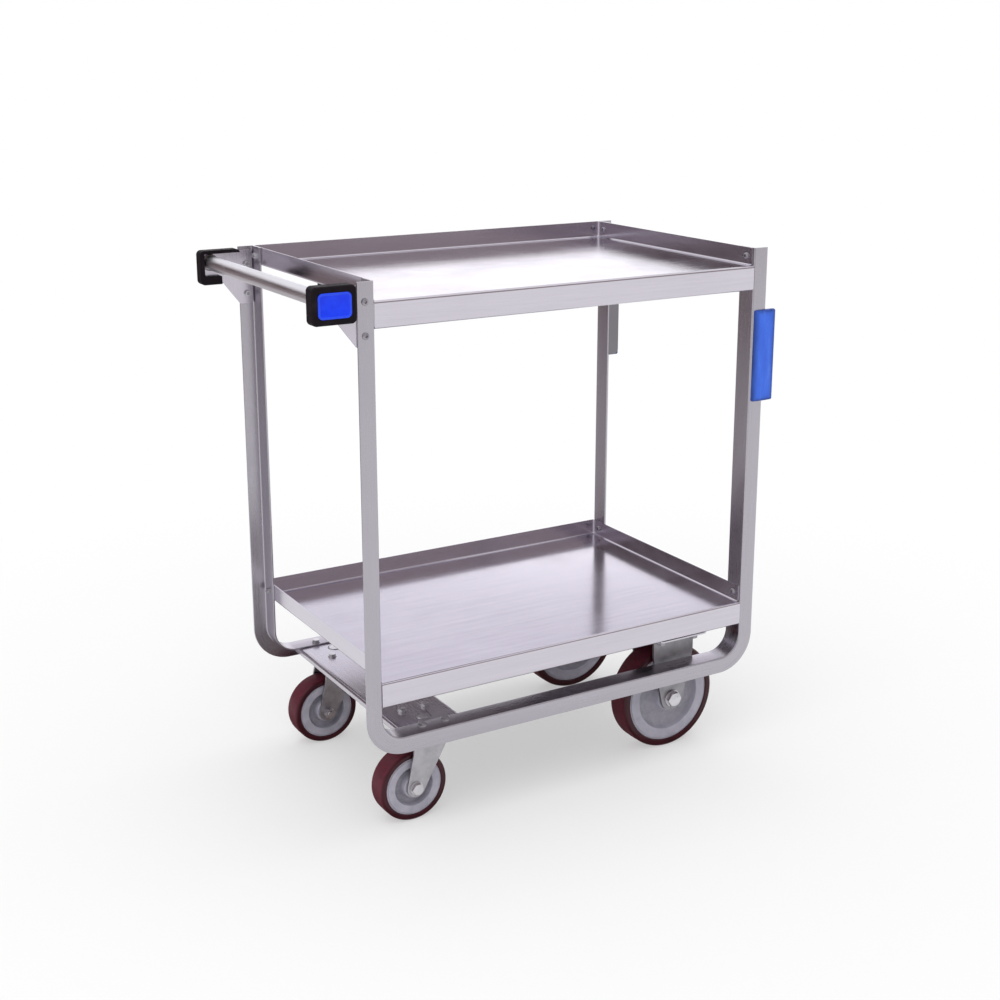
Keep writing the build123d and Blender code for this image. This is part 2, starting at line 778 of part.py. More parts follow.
with BuildPart() as caster_tread:
    with Locations(caster_centre):
        add(tyre(caster_radius, caster_tread_thickness, caster_tread_width, caster_shoulder))
save_pair(caster_tread, "caster_tread")

# Fork of a rigid wheel, welded to its bolting plate
with BuildPart() as wheel_fork:
    with Locations((wheel_x, -wheel_y, fork_plate_under)):
        add(
            pressed_fork(
                wheel_fork_gap,
                wheel_fork_gauge,
                fork_plate_under - wheel_radius,
                0,
                wheel_fork_width,
                wheel_fork_shoulder,
                wheel_fork_boss,
                wheel_axle,
                wheel_fork_bend,
            )
        )
    with BuildSketch(Plane.XY.offset(fork_plate_under)):
        with Locations((wheel_x, -wheel_y)):
            RectangleRounded(*fork_plate_size, fork_plate_corner)
            with GridLocations(*fork_bolt_pitch, 2, 2):
                Circle(fork_bolt / 2 + hole_clearance, mode=Mode.SUBTRACT)
    extrude(amount=fork_plate_gauge)
save_pair(wheel_fork, "wheel_fork")

# Bolts and nuts that hold the rigid forks to their bolster
fork_bolt_places = [
    (wheel_x + end * fork_bolt_pitch[0] / 2, side * wheel_y + row * fork_bolt_pitch[1] / 2)
    for side in (-1, 1)
    for end in (-1, 1)
    for row in (-1, 1)
]
with BuildPart() as fork_bolts:
    with Locations(*[Location((x, y, fork_plate_under), (180, 0, 0)) for x, y in fork_bolt_places]):
        add(hex_bolt(fork_bolt, fork_bolt_length))
save(fork_bolts, "fork_bolts")

with BuildPart() as fork_nuts:
    with Locations(*[(x, y, wheel_bolster_bottom + bolster_gauge) for x, y in fork_bolt_places]):
        add(hex_nut(fork_bolt))
save(fork_nuts, "fork_nuts")

# Rigid wheel axles: bolts, nuts and bushes
with BuildPart() as wheel_axles:
    for side in (-1, 1):
        head_seat = (wheel_x, side * (wheel_y + wheel_fork_half), wheel_radius)
        with Locations(Location(head_seat, (-90 * side, 0, 0))):
            add(hex_bolt(wheel_axle, wheel_axle_grip + nut_and_tip_share * wheel_axle))
save(wheel_axles, "wheel_axles")

with BuildPart() as wheel_axle_nuts:
    for side in (-1, 1):
        nut_seat = (wheel_x, side * (wheel_y - wheel_fork_half), wheel_radius)
        with Locations(Location(nut_seat, (90 * side, 0, 0))):
            add(hex_nut(wheel_axle))
save(wheel_axle_nuts, "wheel_axle_nuts")

with BuildPart() as wheel_bush:
    with Locations(wheel_centre):
        add(sleeve(wheel_axle / 2 + running_clearance, wheel_bush_radius, wheel_fork_gap))
save_pair(wheel_bush, "wheel_bush")

# Rigid wheel: roller bearing, cast centre and moulded tread
with BuildPart() as wheel_bearing:
    with Locations(wheel_centre):
        add(sleeve(wheel_bush_radius + running_clearance, wheel_bearing_radius, wheel_hub_width))
save_pair(wheel_bearing, "wheel_bearing")

with BuildPart() as wheel_core:
    with Locations(wheel_centre):
        add(
            wheel_centre_casting(
                wheel_bearing_radius,
                wheel_hub_radius,
                wheel_hub_width,
                wheel_web,
                wheel_rim_radius,
                wheel_radius - wheel_tread_thickness,
                wheel_rim_width,
                wheel_web_fillet,
            )
        )
save_pair(wheel_core, "wheel_core")

with BuildPart() as wheel_tread:
    with Locations(wheel_centre):
        add(tyre(wheel_radius, wheel_tread_thickness, wheel_tread_width, wheel_shoulder))
save_pair(wheel_tread, "wheel_tread")
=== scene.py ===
import json
import math

import bmesh
import bpy
from mathutils import Matrix, Vector

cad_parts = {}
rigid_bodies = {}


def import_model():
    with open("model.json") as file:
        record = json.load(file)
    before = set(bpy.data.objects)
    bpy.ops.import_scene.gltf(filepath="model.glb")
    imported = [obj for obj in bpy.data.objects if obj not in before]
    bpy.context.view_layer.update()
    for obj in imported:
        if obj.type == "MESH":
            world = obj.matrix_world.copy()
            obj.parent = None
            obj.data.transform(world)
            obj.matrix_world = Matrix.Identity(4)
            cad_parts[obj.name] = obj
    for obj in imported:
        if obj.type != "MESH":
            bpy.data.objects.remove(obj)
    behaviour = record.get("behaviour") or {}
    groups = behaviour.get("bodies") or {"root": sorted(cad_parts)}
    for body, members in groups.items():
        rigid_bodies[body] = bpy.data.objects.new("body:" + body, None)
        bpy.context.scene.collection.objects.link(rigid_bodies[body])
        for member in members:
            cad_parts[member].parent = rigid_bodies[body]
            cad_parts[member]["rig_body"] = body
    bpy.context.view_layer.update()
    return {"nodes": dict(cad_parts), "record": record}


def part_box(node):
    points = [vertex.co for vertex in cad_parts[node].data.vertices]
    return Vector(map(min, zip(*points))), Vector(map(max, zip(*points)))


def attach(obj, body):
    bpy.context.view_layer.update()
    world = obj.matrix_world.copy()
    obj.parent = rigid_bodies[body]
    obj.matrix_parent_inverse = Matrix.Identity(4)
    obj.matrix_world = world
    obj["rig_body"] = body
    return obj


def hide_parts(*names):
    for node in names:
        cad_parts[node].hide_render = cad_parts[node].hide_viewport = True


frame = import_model()

MM = 0.001
X, Y, Z = range(3)
ACROSS_CART = (0, 1, 0)
SIDES = {"near": -1, "far": 1}
NODES = frame["nodes"]
SLOTS = {entry["node"]: entry["material_slot"] for entry in frame["record"]["subparts"]}

# Bent angle of the side frames
ANGLE_GAUGE = 3 * MM
WEB_WIDTH = 29 * MM
BEND_RADIUS = 70 * MM
HEEL_RADIUS = 3 * MM
ROOT_RADIUS = 2.5 * MM
MILL_EDGE = 0.7 * MM
BEND_STEPS = 28
LEG_STEPS = 10

# Edges broken on sheet, cut plate, heavy plate, pressings and mouldings
SHEET_EDGE = 0.35 * MM
CUT_EDGE = 0.5 * MM
HEAVY_EDGE = 0.6 * MM
PRESSED_EDGE = 0.8 * MM
MOULDED_EDGE = 0.8 * MM
EDGE_SEGMENTS = 2
FLAT_ANGLE = math.radians(0.6)
SHARP_ANGLE = math.radians(34)
JOIN_DISTANCE = 1e-6
EMPTY_EDGE = 2e-6

# Push handle and its welds
TUBE_RADIUS = 12.7 * MM
TUBE_WALL = 1.6 * MM
TUBE_STEPS = 72
HANDLE_BEAD = 1.9 * MM
HANDLE_BEAD_RISE = 0.4 * MM
HANDLE_BEAD_INSET = 0.6 * MM
HANDLE_BEAD_STEPS = 60

# Leg bumpers
BUMPER_STEPS = 24
BUMPER_DOME = 0.35
BUMPER_NOSE = 0.88
BUMPER_SIDE = 0.15
BUMPER_END = 3 * MM
BUMPER_END_STEPS = 6
BUMPER_RUN_STEPS = 24
# Painted shade on the leg bumpers: darker from this share of the half width out to the edges, and over this
# length at each end
EDGE_SHADE_START = 0.55
END_SHADE_LENGTH = 8 * MM

# Plates on the end blocks
PLATE_CORNER = 8 * MM
PLATE_CORNER_STEPS = 8
PLATE_EDGE = 0.8 * MM
PLATE_EDGE_STEPS = 6
PLATE_LIP = 3.2 * MM
PLATE_SINK = 0.7 * MM
PLATE_SLOPE = 1.2 * MM
PLATE_SLOPE_STEPS = 4

# Wheels: thickness of tread and web, and radius of hub, bearing and inner rim
WHEELS = {
    "caster": {"tread": 11 * MM, "web": 12 * MM, "hub": 20 * MM, "bearing": 14 * MM, "rim": 36 * MM},
    "wheel": {"tread": 14 * MM, "web": 16 * MM, "hub": 27 * MM, "bearing": 17 * MM, "rim": 66 * MM},
}
WHEEL_STEPS = 144
TREAD_SHOULDER = 6 * MM
TREAD_CROWN = 0.5 * MM
TREAD_CROWN_RADIUS = 40 * MM
TREAD_STEP = 1.5 * MM
TREAD_KEY = 1 * MM
# Band of the running face that is dulled and painted lighter: painted light, with real rubbing in its gloss
TREAD_WEAR_AND_LIGHT_BAND = 2.2 * MM
TREAD_WEAR_AND_LIGHT_FADE = 1.8 * MM
RIM_INSET = 1 * MM
RIM_BEAD = 1.4 * MM
RIM_BEAD_FOOT = 3 * MM
RIM_BEAD_TOP = 3.4 * MM
DISH_SLOPE = 0.12
# Reach of the painted shade in the dish, as a share of the tread's half width
DISH_SHADE_REACH = 0.8

# Nominal diameters of the fasteners
BOLT_SIZES = {
    "shelf_bolts": 6 * MM,
    "handle_bolts": 6 * MM,
    "leg_bumper_screws": 5 * MM,
    "caster_bolts": 8 * MM,
    "fork_bolts": 10 * MM,
    "wheel_axles": 16 * MM,
    "caster_axle_near": 12 * MM,
    "caster_axle_far": 12 * MM,
}
NUT_SIZES = {
    "shelf_nuts": 6 * MM,
    "handle_nuts": 6 * MM,
    "caster_nuts": 8 * MM,
    "fork_nuts": 10 * MM,
    "kingpin_nuts": 14 * MM,
    "wheel_axle_nuts": 16 * MM,
    "caster_axle_nut_near": 12 * MM,
    "caster_axle_nut_far": 12 * MM,
}
BUTTON_NODES = ("shelf_bolts", "handle_bolts", "leg_bumper_screws")
# Painted shade: the fork bolts and nuts take the darker button finish
SHADED_FORK_FASTENERS = ("fork_bolts", "fork_nuts")

# Shares of a fastener's diameter
HEX_HALF_SHARE = 0.8
HEX_HEAD_SHARE = 0.65
BUTTON_HEAD_SHARE = 0.55
BUTTON_RADIUS_SHARE = 0.95
NUT_BORE_SHARE = 0.51
WASHER_RADIUS_SHARE = 1.02
WASHER_HEIGHT_SHARE = 0.14
THREAD_SHARE = 1.4

# Shapes of hexagons, rods, button heads and washers, as shares of their own sizes
HEX_STEPS = 72
HEX_FLAT_SHARE = 0.97
HEX_CAP_SHARE = 0.3
HEX_CHAMFER = math.radians(30)
ROD_STEPS = 40
PITCH_SHARE = 0.3
THREAD_DEPTH_SHARE = 0.45
HEAD_STEPS = 48
DOME_STEPS = 8
HEAD_SIDE_SHARE = 0.2
SOCKET_SHARE = 0.42
SOCKET_RIM_SHARE = 1.15
SOCKET_FOOT_SHARE = 0.96
SOCKET_FLOOR_SHARE = 0.35
WASHER_EDGE_SHARE = 0.25

# Weld beads
BEAD_SIDES = 8
RIPPLE_PITCH_SHARE = 1.2
RIPPLE_STEPS = 3
RIPPLE_DEPTH = 0.2
STIFFENER_WELD = {"along": X, "radius": 1.4 * MM, "drop": 1 * MM, "stitch": 25 * MM, "gap": 90 * MM}
BOLSTER_WELD = {"along": Y, "radius": 2 * MM, "drop": 1.5 * MM, "stitch": 35 * MM, "gap": 60 * MM}

# Brushed steel: streaks per metre across and along the grain, the share of the fine ones, and heights
FINE_STREAKS = (1300, 16)
BROAD_STREAKS = (170, 3)
FINE_SHARE = 0.55
STREAK_HEIGHT = 0.06 * MM
SHEET_WAVE = 4 * MM

# Share of a face's normal along an axis, past which the face lies across it
ACROSS_LIMIT = 0.7

# Sockets of the Mix node, which has a set for each kind of data
MIX_FACTOR = 0
MIX_VECTORS = (4, 5)
MIX_VECTOR_RESULT = 1
MIX_COLOURS = (6, 7)
MIX_COLOUR_RESULT = 2

# Stage
FLOOR_REACH = 14.0
FLOOR_COLOUR = (0.9, 0.9, 0.9, 1)
FADE_START = 0.5
FADE_END = 1.8
FADE_LEAST = 0.45
FILL_STRENGTH = 0.55
CARD_LIFT = 4 * MM
BACK_LINE = ((0.0, 5.7), (5.0, 2.7))
CAMERA_LINE = ((-3.8, -3.0), (-0.4, -4.6))
FRONT_LINE = ((-1.5, -3.5), (4.5, -2.3))
LEFT_LINE = ((-4.4, 0.7), (-0.7, 3.8))

# Camera, fitted to the photograph
CAMERA_PLACE = (-1.3729, -2.3514, 1.3006)
CAMERA_YAW = math.radians(30.69)
CAMERA_PITCH = math.radians(14.87)
CAMERA_SENSOR = 36.0
CAMERA_LENS = 55.69
CAMERA_SHIFT = -0.05


# Shader graphs


class Graph:
    """Shader nodes of a material or a world, added and linked by short calls."""

    def __init__(self, owner):
        owner.use_nodes = True
        self.tree = owner.node_tree

    def add(self, kind, **settings):
        """New node, with its properties set by name."""
        node = self.tree.nodes.new(f"ShaderNode{kind}")
        for key, value in settings.items():
            setattr(node, key, value)
        return node

    def link(self, source, target):
        self.tree.links.new(source, target)

    def math(self, operation, first, second=0.0):
        node = self.add("Math", operation=operation)
        for socket, value in zip(node.inputs, (first, second)):
            if isinstance(value, (int, float)):
                socket.default_value = value
            else:
                self.link(value, socket)
        return node.outputs["Value"]

    def seen(self):
        """1 for rays from the camera and for reflections, 0 for the light on everything else."""
        path = self.add("LightPath")
        return self.math("MAXIMUM", path.outputs["Is Camera Ray"], path.outputs["Is Glossy Ray"])

    def mix_shaders(self, factor, first, second):
        node = self.add("MixShader")
        for source, socket in zip((factor, first, second), node.inputs):
            self.link(source, socket)
        return node.outputs["Shader"]


class Finish(Graph):
    """Nodes of one material round its Principled shader."""

    def __init__(self, name):
        self.material = bpy.data.materials.new(name)
        super().__init__(self.material)
        self.shader = self.tree.nodes["Principled BSDF"]

    def set(self, **values):
        """Constants on the shader's own sockets."""
        for key, value in values.items():
            self.shader.inputs[key.replace("_", " ")].default_value = value

    def coordinates(self, kind, scale=(1, 1, 1)):
        """Texture coordinates, stretched by a scale for each axis."""
        place = self.add("TexCoord")
        mapping = self.add("Mapping", vector_type="TEXTURE")
        mapping.inputs["Scale"].default_value = tuple(1 / factor for factor in scale)
        self.link(place.outputs[kind], mapping.inputs["Vector"])
        return mapping.outputs["Vector"]

    def facing(self, axis):
        """1 on faces that lie across an axis, 0 elsewhere."""
        place = self.add("TexCoord")
        parts = self.add("SeparateXYZ")
        self.link(place.outputs["Normal"], parts.inputs["Vector"])
        return self.math("GREATER_THAN", self.math("ABSOLUTE", parts.outputs[axis]), ACROSS_LIMIT)

    def grain(self, kind, along, turned, across, lengthwise):
        """Coordinates drawn out along one axis, or along a second one on faces that lie across the first."""
        choice = self.add("Mix", data_type="VECTOR")
        self.link(self.facing(along), choice.inputs[MIX_FACTOR])
        for socket, axis in zip(MIX_VECTORS, (along, turned)):
            scale = [across] * 3
            scale[axis] = lengthwise
            self.link(self.coordinates(kind, scale), choice.inputs[socket])
        return choice.outputs[MIX_VECTOR_RESULT]

    def noise(self, vector, scale=1.0, detail=3.0, roughness=0.5):
        node = self.add("TexNoise")
        node.inputs["Scale"].default_value = scale
        node.inputs["Detail"].default_value = detail
        node.inputs["Roughness"].default_value = roughness
        self.link(vector, node.inputs["Vector"])
        return node.outputs["Fac"]

    def grains(self, vector, scale):
        """Distance to the nearest cell centre, for pebbled surfaces."""
        node = self.add("TexVoronoi")
        node.inputs["Scale"].default_value = scale
        self.link(vector, node.inputs["Vector"])
        return node.outputs["Distance"]

    def attribute(self, name):
        node = self.add("Attribute", attribute_name=name)
        return node.outputs["Fac"]

    def ramp(self, factor, *stops):
        """Colour from a factor: stops are (position, (r, g, b))."""
        node = self.add("ValToRGB")
        while len(node.color_ramp.elements) < len(stops):
            node.color_ramp.elements.new(0.5)
        for element, (position, colour) in zip(node.color_ramp.elements, stops):
            element.position = position
            element.color = (*colour, 1)
        self.link(factor, node.inputs["Fac"])
        return node.outputs["Color"]

    def spread(self, factor, low, high, start=0.3, end=0.7):
        """Factor stretched from its usual span to new limits."""
        node = self.add("MapRange")
        node.inputs["From Min"].default_value = start
        node.inputs["From Max"].default_value = end
        node.inputs["To Min"].default_value = low
        node.inputs["To Max"].default_value = high
        self.link(factor, node.inputs["Value"])
        return node.outputs["Result"]

    def mix(self, factor, first, second):
        """Blend of a linked colour with one given as (r, g, b)."""
        node = self.add("Mix", data_type="RGBA")
        linked, given = MIX_COLOURS
        self.link(factor, node.inputs[MIX_FACTOR])
        self.link(first, node.inputs[linked])
        node.inputs[given].default_value = (*second, 1)
        return node.outputs[MIX_COLOUR_RESULT]

    def bump(self, height, strength, distance, normal=None):
        node = self.add("Bump")
        node.inputs["Strength"].default_value = strength
        node.inputs["Distance"].default_value = distance
        self.link(height, node.inputs["Height"])
        if normal is not None:
            self.link(normal, node.inputs["Normal"])
        return node.outputs["Normal"]

    def done(self, colour, roughness, normal):
        """Link the three varying inputs and hand over the material."""
        self.link(colour, self.shader.inputs["Base Color"])
        self.link(roughness, self.shader.inputs["Roughness"])
        self.link(normal, self.shader.inputs["Normal"])
        return self.material


def shade(colour, factor):
    return tuple(min(1.0, channel * factor) for channel in colour)


def brushed_steel(name, tint, along, turned, kind="Object", roughness=(0.23, 0.33), waves=0.1):
    """Brushed steel: fine and broad streaks along one axis in tint, gloss and height, handling smudges
    and a faint wave of the sheet. Faces that lie across the axis are brushed along the second one."""
    graph = Finish(name)
    graph.set(Metallic=1.0)
    place = graph.coordinates(kind)
    fine = graph.noise(graph.grain(kind, along, turned, *FINE_STREAKS), detail=3.0)
    broad = graph.noise(graph.grain(kind, along, turned, *BROAD_STREAKS), detail=4.0, roughness=0.6)
    fine_part = graph.math("MULTIPLY", fine, FINE_SHARE)
    broad_part = graph.math("MULTIPLY", broad, 1 - FINE_SHARE)
    streaks = graph.math("ADD", fine_part, broad_part)
    smudges = graph.noise(place, scale=9.0, detail=5.0, roughness=0.6)
    colour = graph.ramp(streaks, (0.3, shade(tint, 0.93)), (0.5, tint), (0.7, shade(tint, 1.05)))
    gloss = graph.math("ADD", graph.spread(streaks, *roughness), graph.spread(smudges, low=-0.02, high=0.05))
    wave = graph.bump(graph.noise(place, scale=4.0, detail=1.0), strength=waves, distance=SHEET_WAVE)
    return graph.done(colour, gloss, graph.bump(streaks, strength=0.5, distance=STREAK_HEIGHT, normal=wave))


def plated_steel(name, tint, roughness=(0.3, 0.46)):
    """Zinc-plated steel: cloudy bright and dull patches, and fine specks in gloss and height."""
    graph = Finish(name)
    graph.set(Metallic=1.0)
    place = graph.coordinates("Object")
    clouds = graph.noise(place, scale=45.0, detail=5.0, roughness=0.6)
    specks = graph.noise(place, scale=620.0, detail=2.0)
    colour = graph.ramp(clouds, (0.3, shade(tint, 0.74)), (0.55, tint), (0.75, shade(tint, 1.12)))
    gloss = graph.math("ADD", graph.spread(clouds, *roughness), graph.spread(specks, low=-0.04, high=0.06))
    return graph.done(colour, gloss, graph.bump(specks, strength=0.12, distance=0.3 * MM))


def weld_metal():
    """Weld bead: dull steel with a straw and violet heat tint."""
    graph = Finish("weld_metal")
    graph.set(Metallic=1.0)
    heat = graph.noise(graph.coordinates("Object"), scale=160.0, detail=3.0)
    colour = graph.ramp(heat, (0.3, (0.34, 0.29, 0.3)), (0.5, (0.5, 0.45, 0.42)), (0.7, (0.46, 0.45, 0.52)))
    gloss = graph.spread(heat, low=0.34, high=0.5)
    return graph.done(colour, gloss, graph.bump(heat, strength=0.1, distance=0.3 * MM))


def bumper_rubber():
    """Moulded black rubber: fine grain, dull bloom and rubbed places."""
    graph = Finish("bumper_rubber")
    graph.set(Specular_IOR_Level=0.12)
    place = graph.coordinates("Object")
    bloom = graph.noise(place, scale=38.0, detail=5.0, roughness=0.6)
    pebble = graph.grains(place, scale=900.0)
    colour = graph.ramp(
        bloom,
        (0.3, (0.005, 0.003, 0.005)),
        (0.55, (0.009, 0.006, 0.009)),
        (0.8, (0.022, 0.016, 0.02)),
    )
    gloss = graph.spread(bloom, low=0.5, high=0.68)
    return graph.done(colour, gloss, graph.bump(pebble, strength=0.25, distance=0.25 * MM))


def bumper_plate():
    """Bright blue moulded plate: satin, with faint flow marks, hairline scuffs and a rubbed lip."""
    graph = Finish("bumper_plate")
    graph.set(Specular_IOR_Level=0.3, Coat_Weight=0.05, Coat_Roughness=0.2)
    flow = graph.noise(graph.coordinates("Object"), scale=60.0, detail=3.0)
    scuffs = graph.noise(graph.coordinates("Object", (160, 160, 1400)), detail=4.0)
    fresh = graph.ramp(flow, (0.3, (0.003, 0.035, 0.86)), (0.7, (0.006, 0.055, 0.98)))
    rubbed = graph.math("MULTIPLY", graph.attribute("wear_and_painted_light"), graph.spread(scuffs, low=0.25, high=0.9))
    colour = graph.mix(rubbed, fresh, (0.03, 0.1, 0.9))
    gloss = graph.spread(scuffs, low=0.3, high=0.48)
    return graph.done(colour, gloss, graph.bump(scuffs, strength=0.05, distance=0.2 * MM))


def leg_bumper_vinyl():
    """Blue vinyl: leather-like pebble, paler where it is rubbed, and darkened towards its edges and ends by
    painted shade.
    """
    graph = Finish("leg_bumper_vinyl")
    graph.set(Specular_IOR_Level=0.3)
    rubs = graph.noise(graph.coordinates("Object", (60, 60, 16)), detail=5.0, roughness=0.62)
    pebble = graph.grains(graph.coordinates("Object"), scale=620.0)
    clean = graph.ramp(
        rubs,
        (0.3, (0.048, 0.145, 0.77)),
        (0.55, (0.062, 0.185, 0.88)),
        (0.78, (0.13, 0.265, 0.95)),
    )
    # Painted shade: the vinyl is darkened towards its edges and ends, less where it is rubbed
    painted_edge_shade = graph.math("MULTIPLY", graph.attribute("wear_and_painted_light"), graph.spread(rubs, low=0.95, high=0.65))
    colour = graph.mix(painted_edge_shade, clean, (0.012, 0.03, 0.14))
    gloss = graph.spread(rubs, low=0.42, high=0.6)
    return graph.done(colour, gloss, graph.bump(pebble, strength=0.2, distance=0.25 * MM))


def wheel_tread():
    """Maroon polyurethane: satin sides, and a running face that is dulled, dusty and painted a lighter
    crimson than the sides as painted light.
    """
    graph = Finish("wheel_tread")
    graph.set(Specular_IOR_Level=0.3, Coat_Weight=0.06, Coat_Roughness=0.3)
    place = graph.coordinates("Object")
    mottle = graph.noise(place, scale=34.0, detail=4.0)
    dust_and_painted_light = graph.noise(place, scale=150.0, detail=6.0, roughness=0.68)
    dusty = graph.spread(dust_and_painted_light, low=0.3, high=0.9, start=0.36, end=0.7)
    # Painted light: the running face is mixed towards a lighter crimson than the darker sides, with dusty
    # specks
    wear_and_painted_light = graph.math("MULTIPLY", graph.attribute("wear_and_painted_light"), dusty)
    fresh = graph.ramp(mottle, (0.3, (0.032, 0.0025, 0.007)), (0.7, (0.058, 0.004, 0.012)))
    colour = graph.mix(wear_and_painted_light, fresh, (0.17, 0.02, 0.042))
    gloss = graph.math("ADD", graph.spread(mottle, low=0.3, high=0.4), graph.math("MULTIPLY", wear_and_painted_light, 0.4))
    return graph.done(colour, gloss, graph.bump(dust_and_painted_light, strength=0.1, distance=0.3 * MM))


def wheel_core():
    """Grey moulded wheel centre: satin, with flow marks, and painted shade deeper in the dish, broken up by
    fine specks.
    """
    graph = Finish("wheel_core")
    place = graph.coordinates("Object")
    flow = graph.noise(place, scale=52.0, detail=4.0)
    dust_and_painted_light = graph.noise(place, scale=260.0, detail=5.0, roughness=0.66)
    base = graph.ramp(flow, (0.3, (0.38, 0.37, 0.44)), (0.7, (0.5, 0.48, 0.56)))
    # Painted shade: darker the deeper a place lies in the dish, broken up by fine specks
    dish_shade_and_dust = graph.math("MULTIPLY", graph.attribute("wear_and_painted_light"), graph.spread(dust_and_painted_light, low=0.2, high=0.85))
    colour = graph.mix(dish_shade_and_dust, base, (0.145, 0.13, 0.14))
    gloss = graph.spread(dust_and_painted_light, low=0.36, high=0.5)
    return graph.done(colour, gloss, graph.bump(dust_and_painted_light, strength=0.08, distance=0.2 * MM))


STAINLESS = (0.63, 0.6, 0.665)
ZINC = (0.47, 0.46, 0.49)
BRIGHT = (0.66, 0.65, 0.68)
GROUND = (0.5, 0.5, 0.52)

angle_steel = brushed_steel("angle_steel", shade(STAINLESS, 0.74), X, X, kind="UV", waves=0.04)
tray_steel = brushed_steel("tray_steel", STAINLESS, X, Y, roughness=(0.11, 0.18))
cross_steel = brushed_steel("cross_steel", shade(STAINLESS, 0.92), Y, X, roughness=(0.2, 0.29))
upright_steel = brushed_steel("upright_steel", STAINLESS, Z, X, waves=0.04)
# Painted highlight: the handle tube takes a lighter copy of the steel
highlit_tube_steel = brushed_steel("highlit_tube_steel", shade(BRIGHT, 1.2), Y, X, roughness=(0.26, 0.36), waves=0.0)
# Painted shade: the leg bumper backings under the top shelf take a much darker copy of the stainless
shaded_backing_tint = shade(STAINLESS, 0.4)
shaded_backing_steel = brushed_steel("shaded_backing_steel", shaded_backing_tint, Z, X, roughness=(0.36, 0.48), waves=0.04)
fork_steel = plated_steel("fork_steel", ZINC)
# Painted shade: the rigid forks under the lower shelf take a darker copy of the same zinc plating
shaded_rigid_fork_steel = plated_steel("shaded_rigid_fork_steel", shade(ZINC, 0.7))
bolt_steel = plated_steel("bolt_steel", BRIGHT, roughness=(0.24, 0.38))
button_steel = plated_steel("button_steel", shade(STAINLESS, 0.7), roughness=(0.42, 0.54))
ground_steel = plated_steel("ground_steel", GROUND, roughness=(0.2, 0.3))
weld_steel = weld_metal()
SLOT_MATERIALS = {
    "stainless_steel": upright_steel,
    "bolster_steel": cross_steel,
    "plated_steel": fork_steel,
    "fastener_steel": bolt_steel,
    "bearing_steel": ground_steel,
    "bumper_rubber": bumper_rubber(),
    "bumper_plate": bumper_plate(),
    "leg_bumper_vinyl": leg_bumper_vinyl(),
    "wheel_core": wheel_core(),
    "wheel_tread": wheel_tread(),
}


# Objects and meshes


def add_object(name, data):
    """New object for a mesh, a lamp or a camera, linked to the scene."""
    holder = bpy.data.objects.new(name, data)
    bpy.context.scene.collection.objects.link(holder)
    return holder


def place_piece(name, mesh, material, like, replaced=()):
    """Object for a finished mesh with its material: it rides as the CAD node that it is like, and the nodes
    it replaces are hidden.
    """
    piece = add_object(name, mesh)
    mesh.materials.append(material)
    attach(piece, NODES[like]["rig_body"])
    if replaced:
        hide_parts(*replaced)
    return piece


def mesh_from(bm, name, crease):
    """Mesh of a finished bmesh, smooth except across edges sharper than a crease in degrees."""
    bmesh.ops.recalc_face_normals(bm, faces=bm.faces)
    mesh = bpy.data.meshes.new(name)
    bm.to_mesh(mesh)
    bm.free()
    mesh.shade_smooth()
    mesh.set_sharp_from_angle(angle=math.radians(crease))
    return mesh


def mark_wear_and_painted_light(mesh, rule):
    """Vertex attribute, from 0 to 1, that says how much rubbing a place has had on some pieces, and how much
    painted light or shade it takes on others.
    """
    layer = mesh.attributes.new("wear_and_painted_light", "FLOAT", "POINT")
    for vertex, value in zip(mesh.vertices, layer.data):
        value.value = max(0.0, min(1.0, rule(vertex.co)))


def welded_copy(node):
    """Bmesh of a CAD node with its split corners joined."""
    bm = bmesh.new()
    bm.from_mesh(NODES[node].data)
    bmesh.ops.remove_doubles(bm, verts=bm.verts, dist=JOIN_DISTANCE)
    return bm


def refine(node, material, edge):
    """Replace a CAD node by the same shape with its sharp edges broken."""
    bm = welded_copy(node)
    bmesh.ops.dissolve_limit(bm, angle_limit=FLAT_ANGLE, verts=bm.verts, edges=bm.edges)
    sharp = [bend for bend in bm.edges if bend.is_manifold and bend.calc_face_angle(0) > SHARP_ANGLE]
    bmesh.ops.bevel(
        bm,
        geom=sharp,
        offset=edge,
        segments=EDGE_SEGMENTS,
        profile=0.5,
        affect="EDGES",
        clamp_overlap=True,
    )
    bmesh.ops.dissolve_degenerate(bm, dist=EMPTY_EDGE, edges=bm.edges)
    piece = place_piece(f"{node}_finished", mesh_from(bm, node, crease=50), material, node, [node])
    piece.modifiers.new("flat_faces", "WEIGHTED_NORMAL").keep_sharp = True


def islands(node):
    """Lowest and highest corner of each separate solid of a CAD node."""
    bm = welded_copy(node)
    boxes = []
    seen = set()
    for seed in bm.verts:
        if seed in seen:
            continue
        group = [seed]
        seen.add(seed)
        for vertex in group:
            for link in vertex.link_edges:
                other = link.other_vert(vertex)
                if other not in seen:
                    seen.add(other)
                    group.append(other)
        low = Vector(min(vertex.co[axis] for vertex in group) for axis in (X, Y, Z))
        high = Vector(max(vertex.co[axis] for vertex in group) for axis in (X, Y, Z))
        boxes.append((low, high))
    bm.free()
    return boxes


def outer_face(low, high):
    """Distance of the outer face of a box from the cart's middle plane."""
    return max(abs(low.y), abs(high.y))


def distances(points):
    """Distance run along a line of points, at each of them."""
    runs = [0.0]
    for start, end in zip(points, points[1:]):
        runs.append(runs[-1] + math.dist(start, end))
    return runs


def quarter(steps):
    """Angles of equal steps over a quarter turn, both ends included."""
    return [math.radians(90 * step / steps) for step in range(steps + 1)]


def full_turn(steps):
    """Angles of equal steps round a full turn."""
    return [2 * math.pi * step / steps for step in range(steps)]


